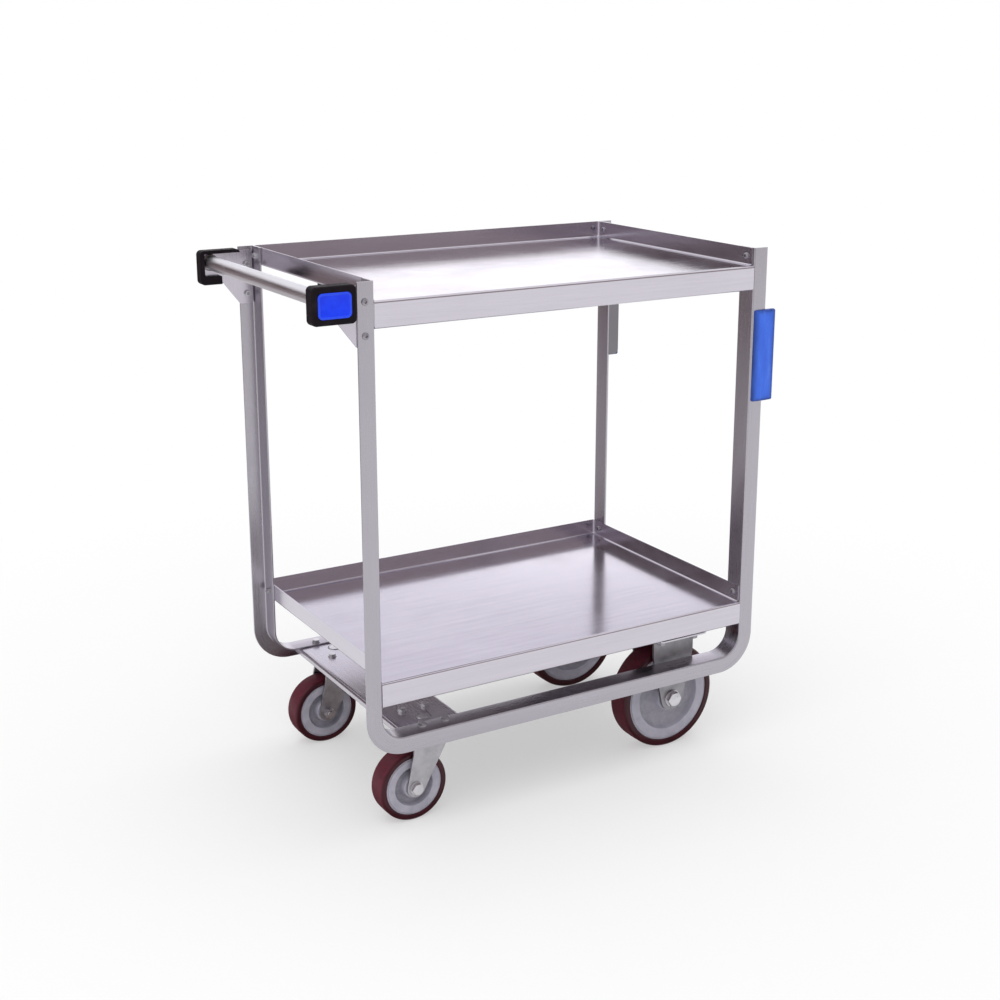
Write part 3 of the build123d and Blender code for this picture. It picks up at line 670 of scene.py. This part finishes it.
def arc(centre, radius, start, end, steps):
    """Points on an arc between two angles in degrees."""
    points = []
    for step in range(steps + 1):
        angle = math.radians(start + (end - start) * step / steps)
        points.append((centre[0] + radius * math.cos(angle), centre[1] + radius * math.sin(angle)))
    return points


def rounded(corners, steps):
    """Closed outline whose corners, given as (x, y, radius), are rounded."""
    outline = []
    for index, (x, y, radius) in enumerate(corners):
        here = Vector((x, y))
        before = (Vector(corners[index - 1][:2]) - here).normalized()
        after = (Vector(corners[(index + 1) % len(corners)][:2]) - here).normalized()
        half = math.acos(max(-1.0, min(1.0, before.dot(after)))) / 2
        centre = here + (before + after).normalized() * radius / math.sin(half)
        spoke = here + before * radius / math.tan(half) - centre
        turn = math.pi - 2 * half
        if before.x * after.y - before.y * after.x > 0:
            turn = -turn
        for step in range(steps + 1):
            angle = turn * step / steps
            outline.append(centre + Matrix.Rotation(angle, 2) @ spoke)
    return [(point.x, point.y) for point in outline]


def axis_basis(axis):
    """Rotation that turns the z axis to another one."""
    return Vector(axis).to_track_quat("Z", "Y").to_matrix()


def polar(centre, basis, radius, angle, height=0.0):
    """Point given by its radius, angle and height about an axis through the centre."""
    return Vector(centre) + basis @ Vector((radius * math.cos(angle), radius * math.sin(angle), height))


def join_rings(bm, rings, looped=False):
    """Skin over rings of vertices, and return its faces. Where they are looped, the last ring meets the
    first, and otherwise both ends are capped."""
    pairs = list(zip(rings, rings[1:]))
    if looped:
        pairs.append((rings[-1], rings[0]))
    else:
        bm.faces.new(rings[0])
        bm.faces.new(rings[-1])
    skins = []
    for first, second in pairs:
        for index in range(len(first)):
            following = (index + 1) % len(first)
            corners = (first[index], first[following], second[following], second[index])
            skins.append(bm.faces.new(corners))
    return skins


def lathe(bm, outline, centre, axis, steps, looped=True):
    """Turn an outline of (radius, height) points about an axis through the centre."""
    basis = axis_basis(axis)
    rings = []
    for radius, height in outline:
        points = [polar(centre, basis, radius, angle, height) for angle in full_turn(steps)]
        rings.append([bm.verts.new(point) for point in points])
    join_rings(bm, rings, looped)


def hex_block(bm, base, axis, half, height, bore=0.0):
    """Hexagon with its corners chamfered by a cone: with a bore it is a nut, chamfered at both ends, and
    without one a bolt's head, chamfered at its free end."""
    basis = axis_basis(axis)
    flat_radius = half * HEX_FLAT_SHARE
    inner = bore if bore else half * HEX_CAP_SHARE
    columns = []
    for angle in full_turn(HEX_STEPS):
        from_flat = (angle % (math.pi / 3)) - math.pi / 6
        reach = half / math.cos(from_flat)
        drop = (reach - flat_radius) * math.tan(HEX_CHAMFER)
        foot = [(flat_radius, 0), (reach, drop)] if bore else [(reach, 0)]
        levels = [(inner, 0), *foot, (reach, height - drop), (flat_radius, height), (inner, height)]
        columns.append([bm.verts.new(polar(base, basis, radius, angle, level)) for radius, level in levels])
    join_rings(bm, list(zip(*columns)), looped=bool(bore))


def threaded_rod(bm, base, axis, radius, length, thread):
    """Rod from the base along the axis, its last stretch threaded and its end chamfered."""
    pitch = radius * PITCH_SHARE
    depth = pitch * THREAD_DEPTH_SHARE
    level = length - thread
    outline = [(radius, 0)]
    # A rod that is threaded all along has no plain stretch
    if level > JOIN_DISTANCE:
        outline.append((radius, level))
    while level + pitch < length - depth:
        outline += [(radius - depth, level + pitch / 2), (radius, level + pitch)]
        level += pitch
    outline.append((radius - depth, length))
    lathe(bm, outline, base, axis, ROD_STEPS, looped=False)


def button_head(bm, base, axis, radius, height):
    """Domed head with a round socket."""
    socket = radius * SOCKET_SHARE
    crown = socket * SOCKET_RIM_SHARE
    side = height * HEAD_SIDE_SHARE
    outline = [(radius, 0)]
    for angle in quarter(DOME_STEPS):
        outline.append((crown + (radius - crown) * math.cos(angle), side + (height - side) * math.sin(angle)))
    outline += [(socket, height), (socket * SOCKET_FOOT_SHARE, height * SOCKET_FLOOR_SHARE)]
    lathe(bm, outline, base, axis, HEAD_STEPS, looped=False)


def washer(bm, base, axis, bore, radius, height):
    """Flat washer with its free edge broken."""
    break_edge = height * WASHER_EDGE_SHARE
    outline = [
        (bore, 0),
        (radius, 0),
        (radius, height - break_edge),
        (radius - break_edge, height),
        (bore, height),
    ]
    lathe(bm, outline, base, axis, HEAD_STEPS)


def weld_bead(bm, points, radius, looped=False):
    """Row of overlapping weld ripples along a line of points."""
    line = [Vector(point) for point in points]
    pitch = radius * RIPPLE_PITCH_SHARE
    stops = []
    run = 0.0
    for start, end in zip(line, line[1:] + line[:1] if looped else line[1:]):
        length = (end - start).length
        direction = (end - start).normalized()
        count = max(1, round(length / (pitch / RIPPLE_STEPS)))
        for step in range(count):
            share = step / count
            stops.append((start.lerp(end, share), direction, run + length * share))
        run += length
    if not looped:
        stops.append((line[-1], direction, run))
    rings = []
    for place, direction, travelled in stops:
        basis = axis_basis(direction)
        ripple = abs(math.sin(math.pi * travelled / pitch))
        swell = radius * (1 - RIPPLE_DEPTH + RIPPLE_DEPTH * ripple)
        rings.append([bm.verts.new(polar(place, basis, swell, angle)) for angle in full_turn(BEAD_SIDES)])
    join_rings(bm, rings, looped)


# Side frames: the angle section carried round the U


def angle_section(depth):
    """Outline of the angle: distance in from the U's outer edge, and distance in from its outer face."""
    root = WEB_WIDTH - ANGLE_GAUGE
    corners = [
        (0, 0, MILL_EDGE),
        (WEB_WIDTH, 0, HEEL_RADIUS),
        (WEB_WIDTH, depth, MILL_EDGE),
        (root, depth, MILL_EDGE),
        (root, ANGLE_GAUGE, ROOT_RADIUS),
        (0, ANGLE_GAUGE, MILL_EDGE),
    ]
    return rounded(corners, steps=5)


def u_path(low, high):
    """Outer edge of the U, each point with its direction inwards."""
    turn_z = low.z + BEND_RADIUS
    path = []
    for step in range(LEG_STEPS):
        path.append(((low.x, high.z + (turn_z - high.z) * step / LEG_STEPS), (1, 0)))
    for centre_x, start in ((low.x + BEND_RADIUS, 180), (high.x - BEND_RADIUS, 270)):
        for x, z in arc((centre_x, turn_z), BEND_RADIUS, start, start + 90, BEND_STEPS):
            path.append(((x, z), ((centre_x - x) / BEND_RADIUS, (turn_z - z) / BEND_RADIUS)))
    for step in range(1, LEG_STEPS + 1):
        path.append(((high.x, turn_z + (high.z - turn_z) * step / LEG_STEPS), (-1, 0)))
    return path


def side_frame(side):
    """Bent angle of one side, with a UV map that follows the bend for the grain."""
    node = f"u_frame_{side}"
    low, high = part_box(node)
    face = outer_face(low, high)
    section = angle_section(high.y - low.y)
    path = u_path(low, high)
    bm = bmesh.new()
    rings = []
    for (x, z), (inward_x, inward_z) in path:
        ring = []
        for inward, depth in section:
            place = (x + inward * inward_x, SIDES[side] * (face - depth), z + inward * inward_z)
            ring.append(bm.verts.new(place))
        rings.append(ring)
    along = distances([point for point, _ in path])
    around = distances(section + section[:1])
    uv_layer = bm.loops.layers.uv.new("grain")
    for number, skin in enumerate(join_rings(bm, rings)):
        row, column = divmod(number, len(section))
        corners = ((row, column), (row, column + 1), (row + 1, column + 1), (row + 1, column))
        for loop, (run, turn) in zip(skin.loops, corners):
            loop[uv_layer].uv = (along[run], around[turn])
    place_piece(f"side_frame_{side}", mesh_from(bm, node, crease=40), angle_steel, node, [node])


for side in SIDES:
    side_frame(side)

# Folded sheet, plate, pressed and moulded pieces, with their edges broken
for tray in ("top_shelf", "lower_shelf", "top_shelf_stiffener", "lower_shelf_stiffener"):
    refine(tray, tray_steel, SHEET_EDGE)
refine("caster_bolster", cross_steel, HEAVY_EDGE)
refine("wheel_bolster", cross_steel, HEAVY_EDGE)
refine("leg_bumper_backings", shaded_backing_steel, CUT_EDGE)
for side in SIDES:
    refine(f"handle_bracket_{side}", upright_steel, CUT_EDGE)
    refine(f"caster_plate_{side}", fork_steel, HEAVY_EDGE)
    refine(f"caster_fork_{side}", fork_steel, PRESSED_EDGE)
    refine(f"wheel_fork_{side}", shaded_rigid_fork_steel, PRESSED_EDGE)
    refine(f"handle_bumper_{side}", SLOT_MATERIALS["bumper_rubber"], MOULDED_EDGE)


# Push handle: a turned tube with a weld at each gusset


def push_handle():
    low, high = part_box("push_handle")
    centre = (low + high) / 2
    half = (high.y - low.y) / 2
    inner = TUBE_RADIUS - TUBE_WALL
    outline = [(inner, -half), (TUBE_RADIUS, -half), (TUBE_RADIUS, half), (inner, half)]
    tube = bmesh.new()
    lathe(tube, outline, centre, ACROSS_CART, TUBE_STEPS)
    mesh = mesh_from(tube, "push_handle", crease=35)
    place_piece("push_tube", mesh, highlit_tube_steel, "push_handle", ["push_handle"])
    welds = bmesh.new()
    for sign in SIDES.values():
        y = centre.y + sign * (half - HANDLE_BEAD_INSET)
        circle = arc((centre.x, centre.z), TUBE_RADIUS + HANDLE_BEAD_RISE, 0, 360, HANDLE_BEAD_STEPS)
        weld_bead(welds, [(x, y, z) for x, z in circle[:-1]], HANDLE_BEAD, looped=True)
    place_piece("handle_welds", mesh_from(welds, "handle_welds", crease=60), weld_steel, "push_handle")


push_handle()


# Leg bumpers: a domed vinyl section run down the edge of the web, with rounded ends


def bumper_section(left, right, web_edge, web_face, web_back, crest, inset):
    """Outline of the moulding, as x and distance from the cart's middle: a domed face, then the jaw that
    closes round the web."""
    middle = (left + right) / 2
    half = (right - left) / 2 - inset
    outline = []
    for step in range(BUMPER_STEPS + 1):
        across = 2 * step / BUMPER_STEPS - 1
        dome = 1 - BUMPER_DOME * across**2
        past_nose = max(0.0, (abs(across) - BUMPER_NOSE) / (1 - BUMPER_NOSE))
        nose = math.sqrt(max(0.0, 1 - past_nose**2))
        rise = (crest - inset - web_face) * dome * (BUMPER_SIDE + (1 - BUMPER_SIDE) * nose)
        outline.append((middle + half * across, web_face + rise))
    jaw = [(middle + half, web_back), (web_edge, web_back), (web_edge, web_face), (middle - half, web_face)]
    return outline + jaw


def leg_bumper(side):
    node = f"leg_bumper_{side}"
    low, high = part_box(node)
    crest = outer_face(low, high)
    web_low, web_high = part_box(f"u_frame_{side}")
    web_face = outer_face(web_low, web_high)
    height = high.z - low.z
    rounding = [BUMPER_END * (1 - math.cos(angle)) for angle in quarter(BUMPER_END_STEPS)]
    levels = [low.z + rise for rise in rounding]
    levels += [low.z + height * step / BUMPER_RUN_STEPS for step in range(1, BUMPER_RUN_STEPS)]
    levels += [high.z - rise for rise in reversed(rounding)]
    bm = bmesh.new()
    rings = []
    for z in levels:
        depth = min(BUMPER_END, z - low.z, high.z - z)
        inset = BUMPER_END - math.sqrt(BUMPER_END**2 - (BUMPER_END - depth) ** 2)
        section = bumper_section(low.x, high.x, web_high.x, web_face, web_face - ANGLE_GAUGE, crest, inset)
        rings.append([bm.verts.new((x, SIDES[side] * y, z)) for x, y in section])
    join_rings(bm, rings)
    mesh = mesh_from(bm, node, crease=50)
    middle = (low + high) / 2

    # Painted shade: 1 at the bumper's edges and ends, falling to 0 towards its middle
    def painted_edge_shade(point):
        across = abs(point.x - middle.x) / (high.x - middle.x)
        along = (abs(point.z - middle.z) - height / 2 + END_SHADE_LENGTH) / END_SHADE_LENGTH
        return max((across - EDGE_SHADE_START) / (1 - EDGE_SHADE_START), along)

    mark_wear_and_painted_light(mesh, painted_edge_shade)
    place_piece(f"leg_bumper_moulding_{side}", mesh, SLOT_MATERIALS["leg_bumper_vinyl"], node, [node])


for side in SIDES:
    leg_bumper(side)


# End plates: a blue moulding with a low lip round a plain sunk panel


def plate_ring(bm, low, high, sign, inset, sink):
    """Rounded outline of the plate, drawn in from its edge and sunk below its face."""
    corner = max(PLATE_CORNER - inset, PLATE_EDGE)
    left, right = low.x + inset, high.x - inset
    bottom, top = low.z + inset, high.z - inset
    face = outer_face(low, high) - sink
    corners = [(left, bottom), (right, bottom), (right, top), (left, top)]
    outline = rounded([(x, z, corner) for x, z in corners], PLATE_CORNER_STEPS)
    return [bm.verts.new((x, sign * face, z)) for x, z in outline]


def end_plate(side):
    node = f"bumper_face_{side}"
    low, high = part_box(node)
    steps = [(0.0, high.y - low.y)]
    for angle in quarter(PLATE_EDGE_STEPS):
        steps.append((PLATE_EDGE * (1 - math.cos(angle)), PLATE_EDGE * (1 - math.sin(angle))))
    for step in range(PLATE_SLOPE_STEPS + 1):
        share = step / PLATE_SLOPE_STEPS
        fall = (1 - math.cos(math.pi * share)) / 2
        steps.append((PLATE_LIP + PLATE_SLOPE * share, PLATE_SINK * fall))
    bm = bmesh.new()
    join_rings(bm, [plate_ring(bm, low, high, SIDES[side], inset, sink) for inset, sink in steps])
    mesh = mesh_from(bm, node, crease=50)
    face = outer_face(low, high)
    mark_wear_and_painted_light(mesh, lambda point: 1.0 - (face - abs(point.y)) / PLATE_SINK)
    place_piece(f"end_plate_{side}", mesh, SLOT_MATERIALS["bumper_plate"], node, [node])


for side in SIDES:
    end_plate(side)


# Wheels: tread and centre turned about the axle, from points with their radius, height and rounding


def mirrored(profile):
    """Lower half of a wheel's profile, from its upper half."""
    return [(radius, -height, corner) for radius, height, corner in reversed(profile)]


def tread_outline(radius, thickness, half):
    """Moulded tread: keyed foot, side step, round shoulders and a slightly crowned running face."""
    foot = radius - thickness
    profile = [
        (radius - TREAD_CROWN, half, min(TREAD_SHOULDER, thickness / 2)),
        (foot + TREAD_STEP, half, 0.8 * MM),
        (foot, half - TREAD_KEY, 0.3 * MM),
    ]
    return rounded([*mirrored(profile), (radius, 0, TREAD_CROWN_RADIUS), *profile], steps=8)


def core_outline(bore, hub, half_hub, half_web, rim_in, rim_out, half_rim):
    """Moulded wheel centre: hub boss, dished web, and a rim with a raised bead."""
    dish = rim_in - hub
    profile = [
        (bore, half_hub, 0.5 * MM),
        (hub, half_hub, 1.6 * MM),
        (hub + DISH_SLOPE * dish, half_web, 0.32 * dish),
        (rim_in - DISH_SLOPE * dish, half_web, 0.3 * dish),
        (rim_in, half_rim, 1.2 * MM),
        (rim_out - RIM_BEAD_TOP, half_rim, 0.5 * MM),
        (rim_out - RIM_BEAD_FOOT, half_rim - RIM_BEAD, 0.4 * MM),
        (rim_out, half_rim - RIM_BEAD, 0.3 * MM),
    ]
    return rounded(profile + mirrored(profile), steps=7)


def wheel(prefix, side, tread, web, hub, bearing, rim):
    tread_node = f"{prefix}_tread_{side}"
    core_node = f"{prefix}_core_{side}"
    low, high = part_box(tread_node)
    centre = (low + high) / 2
    radius = (high.z - low.z) / 2
    half_tread = (high.y - low.y) / 2
    core_low, core_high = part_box(core_node)
    half_hub = (core_high.y - core_low.y) / 2

    # Painted light: 1 on the running face, which is painted lighter and dulled
    def tread_wear_and_painted_light(point):
        from_axle = math.hypot(point.x - centre.x, point.z - centre.z)
        return (from_axle - radius + TREAD_WEAR_AND_LIGHT_BAND) / TREAD_WEAR_AND_LIGHT_FADE

    # Painted shade: 1 on the wheel's middle plane, falling off towards its faces
    def dust_and_painted_light(point):
        return 1.0 - abs(point.y - centre.y) / (half_tread * DISH_SHADE_REACH)

    bm = bmesh.new()
    lathe(bm, tread_outline(radius, tread, half_tread), centre, ACROSS_CART, WHEEL_STEPS)
    tyre = mesh_from(bm, tread_node, crease=40)
    mark_wear_and_painted_light(tyre, tread_wear_and_painted_light)
    place_piece(f"{prefix}_tyre_{side}", tyre, SLOT_MATERIALS["wheel_tread"], tread_node, [tread_node])

    outline = core_outline(bearing, hub, half_hub, web / 2, rim, radius - tread, half_tread - RIM_INSET)
    bm = bmesh.new()
    lathe(bm, outline, centre, ACROSS_CART, WHEEL_STEPS)
    core = mesh_from(bm, core_node, crease=40)
    mark_wear_and_painted_light(core, dust_and_painted_light)
    place_piece(f"{prefix}_centre_{side}", core, SLOT_MATERIALS["wheel_core"], core_node, [core_node])


for side in SIDES:
    for prefix, sizes in WHEELS.items():
        wheel(prefix, side, **sizes)


# Fasteners: each CAD bolt or nut is redrawn with its chamfers, threads and washers


def outward(node, middle):
    """Direction from the shank to the head of a bolt, or from its seat to the free face of a nut."""
    directions = {
        "shelf_bolts": Vector((-1 if middle.x > 0 else 1, 0, 0)),
        "shelf_nuts": Vector((1 if middle.x > 0 else -1, 0, 0)),
        "caster_bolts": Vector((0, 0, 1)),
        "caster_nuts": Vector((0, 0, -1)),
        "kingpin_nuts": Vector((0, 0, -1)),
        "fork_bolts": Vector((0, 0, -1)),
        "fork_nuts": Vector((0, 0, 1)),
    }
    to_middle = Vector((0, -1 if middle.y > 0 else 1, 0))
    if node in directions:
        return directions[node]
    if "nut" in node or node == "leg_bumper_screws":
        return to_middle
    return -to_middle


def bolt(bm, node, top, axis, length):
    """Bolt or screw with its head at the top and its shank against the axis."""
    size = BOLT_SIZES[node]
    head = (BUTTON_HEAD_SHARE if node in BUTTON_NODES else HEX_HEAD_SHARE) * size
    seat = top - axis * head
    if node in BUTTON_NODES:
        button_head(bm, seat, axis, BUTTON_RADIUS_SHARE * size, head)
    else:
        washer(bm, seat, axis, size / 2, WASHER_RADIUS_SHARE * size, WASHER_HEIGHT_SHARE * size)
        hex_block(bm, seat, axis, HEX_HALF_SHARE * size, head)
    shank = length - head
    threaded_rod(bm, seat, -axis, size / 2, shank, min(THREAD_SHARE * size, shank))


def fasteners(node):
    """One mesh for all the bolts, screws or nuts of a CAD node."""
    bm = bmesh.new()
    for low, high in islands(node):
        middle = (low + high) / 2
        axis = outward(node, middle)
        length = abs((high - low).dot(axis))
        if node in NUT_SIZES:
            size = NUT_SIZES[node]
            foot = middle - axis * length / 2
            hex_block(bm, foot, axis, HEX_HALF_SHARE * size, length, bore=NUT_BORE_SHARE * size)
        else:
            bolt(bm, node, middle + axis * length / 2, axis, length)
    # Painted shade: the fork bolts and nuts take the darker button finish
    finish = button_steel if node in BUTTON_NODES + SHADED_FORK_FASTENERS else bolt_steel
    place_piece(f"{node}_detailed", mesh_from(bm, node, crease=30), finish, node, [node])


for fastener_node in (*BOLT_SIZES, *NUT_SIZES):
    fasteners(fastener_node)

# Remaining CAD nodes keep their shape and take the finish of their slot
for name, node in NODES.items():
    if not node.hide_render:
        node.data.materials.clear()
        node.data.materials.append(SLOT_MATERIALS[SLOTS[name]])


# Welds of the stiffeners and of the channel that carries the rigid wheels


def stitch_welds(node, along, radius, drop, stitch, gap):
    """Short weld beads along the two upper edges of a piece that run in x or in y."""
    low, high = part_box(node)
    z = high.z - drop
    if along == X:
        rows = [((low.x, y, z), (high.x, y, z)) for y in (low.y, high.y)]
    else:
        rows = [((x, low.y, z), (x, high.y, z)) for x in (low.x, high.x)]
    bm = bmesh.new()
    for start, end in rows:
        span = Vector(end) - Vector(start)
        count = max(1, round(span.length / (stitch + gap)))
        reach = span.normalized() * stitch / 2
        for index in range(count):
            middle = Vector(start) + span * (index + 0.5) / count
            weld_bead(bm, [middle - reach, middle + reach], radius)
    name = f"{node}_welds"
    place_piece(name, mesh_from(bm, name, crease=60), weld_steel, node)


for shelf in ("top_shelf", "lower_shelf"):
    stitch_welds(f"{shelf}_stiffener", **STIFFENER_WELD)
stitch_welds("wheel_bolster", **BOLSTER_WELD)


# Stage: pale floor, white surroundings and soft lamps


def stage_floor():
    """Pale floor that takes the shadow near the cart, fades to white further off and is open from below."""
    low, high = -FLOOR_REACH, FLOOR_REACH
    mesh = bpy.data.meshes.new("floor")
    corners = [(low, low, 0), (high, low, 0), (high, high, 0), (low, high, 0)]
    mesh.from_pydata(corners, [], [(0, 1, 2, 3)])
    floor = add_object("floor", mesh)
    material = bpy.data.materials.new("pale_floor")
    graph = Graph(material)
    graph.tree.nodes.clear()
    length = graph.add("VectorMath", operation="LENGTH")
    graph.link(graph.add("TexCoord").outputs["Object"], length.inputs[0])
    fade = graph.add("MapRange", interpolation_type="SMOOTHSTEP")
    fade.inputs["From Min"].default_value = FADE_START
    fade.inputs["From Max"].default_value = FADE_END
    fade.inputs["To Min"].default_value = FADE_LEAST
    graph.link(length.outputs["Value"], fade.inputs["Value"])
    share = graph.math("MULTIPLY", fade.outputs["Result"], graph.seen())
    diffuse = graph.add("BsdfDiffuse")
    diffuse.inputs["Color"].default_value = FLOOR_COLOUR
    glow = graph.add("Emission")
    top = graph.mix_shaders(share, diffuse.outputs["BSDF"], glow.outputs["Emission"])
    below = graph.add("NewGeometry").outputs["Backfacing"]
    clear = graph.add("BsdfTransparent").outputs["BSDF"]
    surface = graph.mix_shaders(below, top, clear)
    graph.link(surface, graph.add("OutputMaterial").inputs["Surface"])
    mesh.materials.append(material)


def stage_world():
    """White surroundings for the camera and for reflections, a softer fill for everything else."""
    world = bpy.data.worlds.new("studio")
    bpy.context.scene.world = world
    graph = Graph(world)
    background = graph.tree.nodes["Background"]
    background.inputs["Color"].default_value = (1, 1, 1, 1)
    strength = graph.add("MapRange")
    strength.inputs["To Min"].default_value = FILL_STRENGTH
    strength.inputs["To Max"].default_value = 1.0
    graph.link(graph.seen(), strength.inputs["Value"])
    graph.link(strength.outputs["Result"], background.inputs["Strength"])


def aim(holder, place, direction):
    """Stand a lamp or the camera at a place and turn it to look along a direction."""
    holder.location = place
    holder.rotation_mode = "QUATERNION"
    holder.rotation_quaternion = direction.to_track_quat("-Z", "Y")


def softbox(name, place, target, size, power):
    """Soft square lamp that lights the cart and leaves no glare in the steel."""
    lamp = bpy.data.lights.new(name, "AREA")
    lamp.shape = "RECTANGLE"
    lamp.size = size
    lamp.size_y = size
    lamp.energy = power
    holder = add_object(name, lamp)
    aim(holder, place, Vector(target) - Vector(place))
    holder.visible_glossy = False


def studio_card(name, corners, colour):
    """Plain studio panel that only reflections see, to give the steel its lights and darks."""
    mesh = bpy.data.meshes.new(name)
    mesh.from_pydata(corners, [], [(0, 1, 2, 3)])
    card = add_object(name, mesh)
    card.visible_camera = False
    card.visible_diffuse = False
    card.visible_shadow = False
    card.visible_transmission = False
    material = bpy.data.materials.new(name)
    graph = Graph(material)
    graph.tree.nodes.clear()
    glow = graph.add("Emission")
    glow.inputs["Color"].default_value = (*colour, 1)
    graph.link(glow.outputs["Emission"], graph.add("OutputMaterial").inputs["Surface"])
    mesh.materials.append(material)


def upright(start, end, low, high):
    """Corners of an upright panel over a line on the floor."""
    return [(*start, low), (*end, low), (*end, high), (*start, high)]


def on_floor(*corners):
    """Corners of a panel that lies just above the floor."""
    return [(x, y, CARD_LIFT) for x, y in corners]


def photo_camera():
    """Camera at the photograph's angle."""
    data = bpy.data.cameras.new("photo_camera")
    data.sensor_width = CAMERA_SENSOR
    data.lens = CAMERA_LENS
    data.shift_y = CAMERA_SHIFT
    camera = add_object("photo_camera", data)
    level = math.cos(CAMERA_PITCH)
    forward = (math.sin(CAMERA_YAW) * level, math.cos(CAMERA_YAW) * level, -math.sin(CAMERA_PITCH))
    aim(camera, CAMERA_PLACE, Vector(forward))
    bpy.context.scene.camera = camera


stage_floor()
stage_world()
softbox("key_lamp", place=(-1.6, -1.6, 2.9), target=(0, 0, 0.5), size=3.0, power=45)
softbox("top_lamp", place=(0.6, 0.6, 3.2), target=(0, 0, 0.4), size=4.0, power=60)
studio_card("back_card", upright(*BACK_LINE, low=0.1, high=1.95), (1.5, 1.48, 1.52))
studio_card("high_card", upright(*BACK_LINE, low=1.97, high=3.6), (0.86, 0.84, 0.92))
studio_card("camera_card", upright(*CAMERA_LINE, low=0.0, high=3.0), (0.42, 0.37, 0.38))
studio_card("front_card", upright(*FRONT_LINE, low=0.8, high=4.0), (0.4, 0.35, 0.355))
studio_card("left_low_card", upright(*LEFT_LINE, low=0.0, high=0.8), (0.22, 0.175, 0.18))
studio_card("left_card", upright(*LEFT_LINE, low=0.82, high=1.85), (0.1, 0.07, 0.07))
studio_card("left_high_card", upright(*LEFT_LINE, low=1.87, high=2.6), (0.75, 0.72, 0.76))
left_corners = on_floor((-1.4, 1.0), (0.6, 1.0), *reversed(LEFT_LINE))
studio_card("left_floor", left_corners, (0.48, 0.45, 0.46))
# Painted shadow: a dark card under the cart, seen only in reflections, stands in for the cart's shadow on the
# floor
under_corners = on_floor((-0.4, -0.24), (0.45, -0.24), (1.0, 1.1), (-0.4, 1.1))
studio_card("cart_shadow_card", under_corners, (0.2, 0.165, 0.16))
photo_camera()
bpy.context.scene.view_settings.view_transform = "Standard"
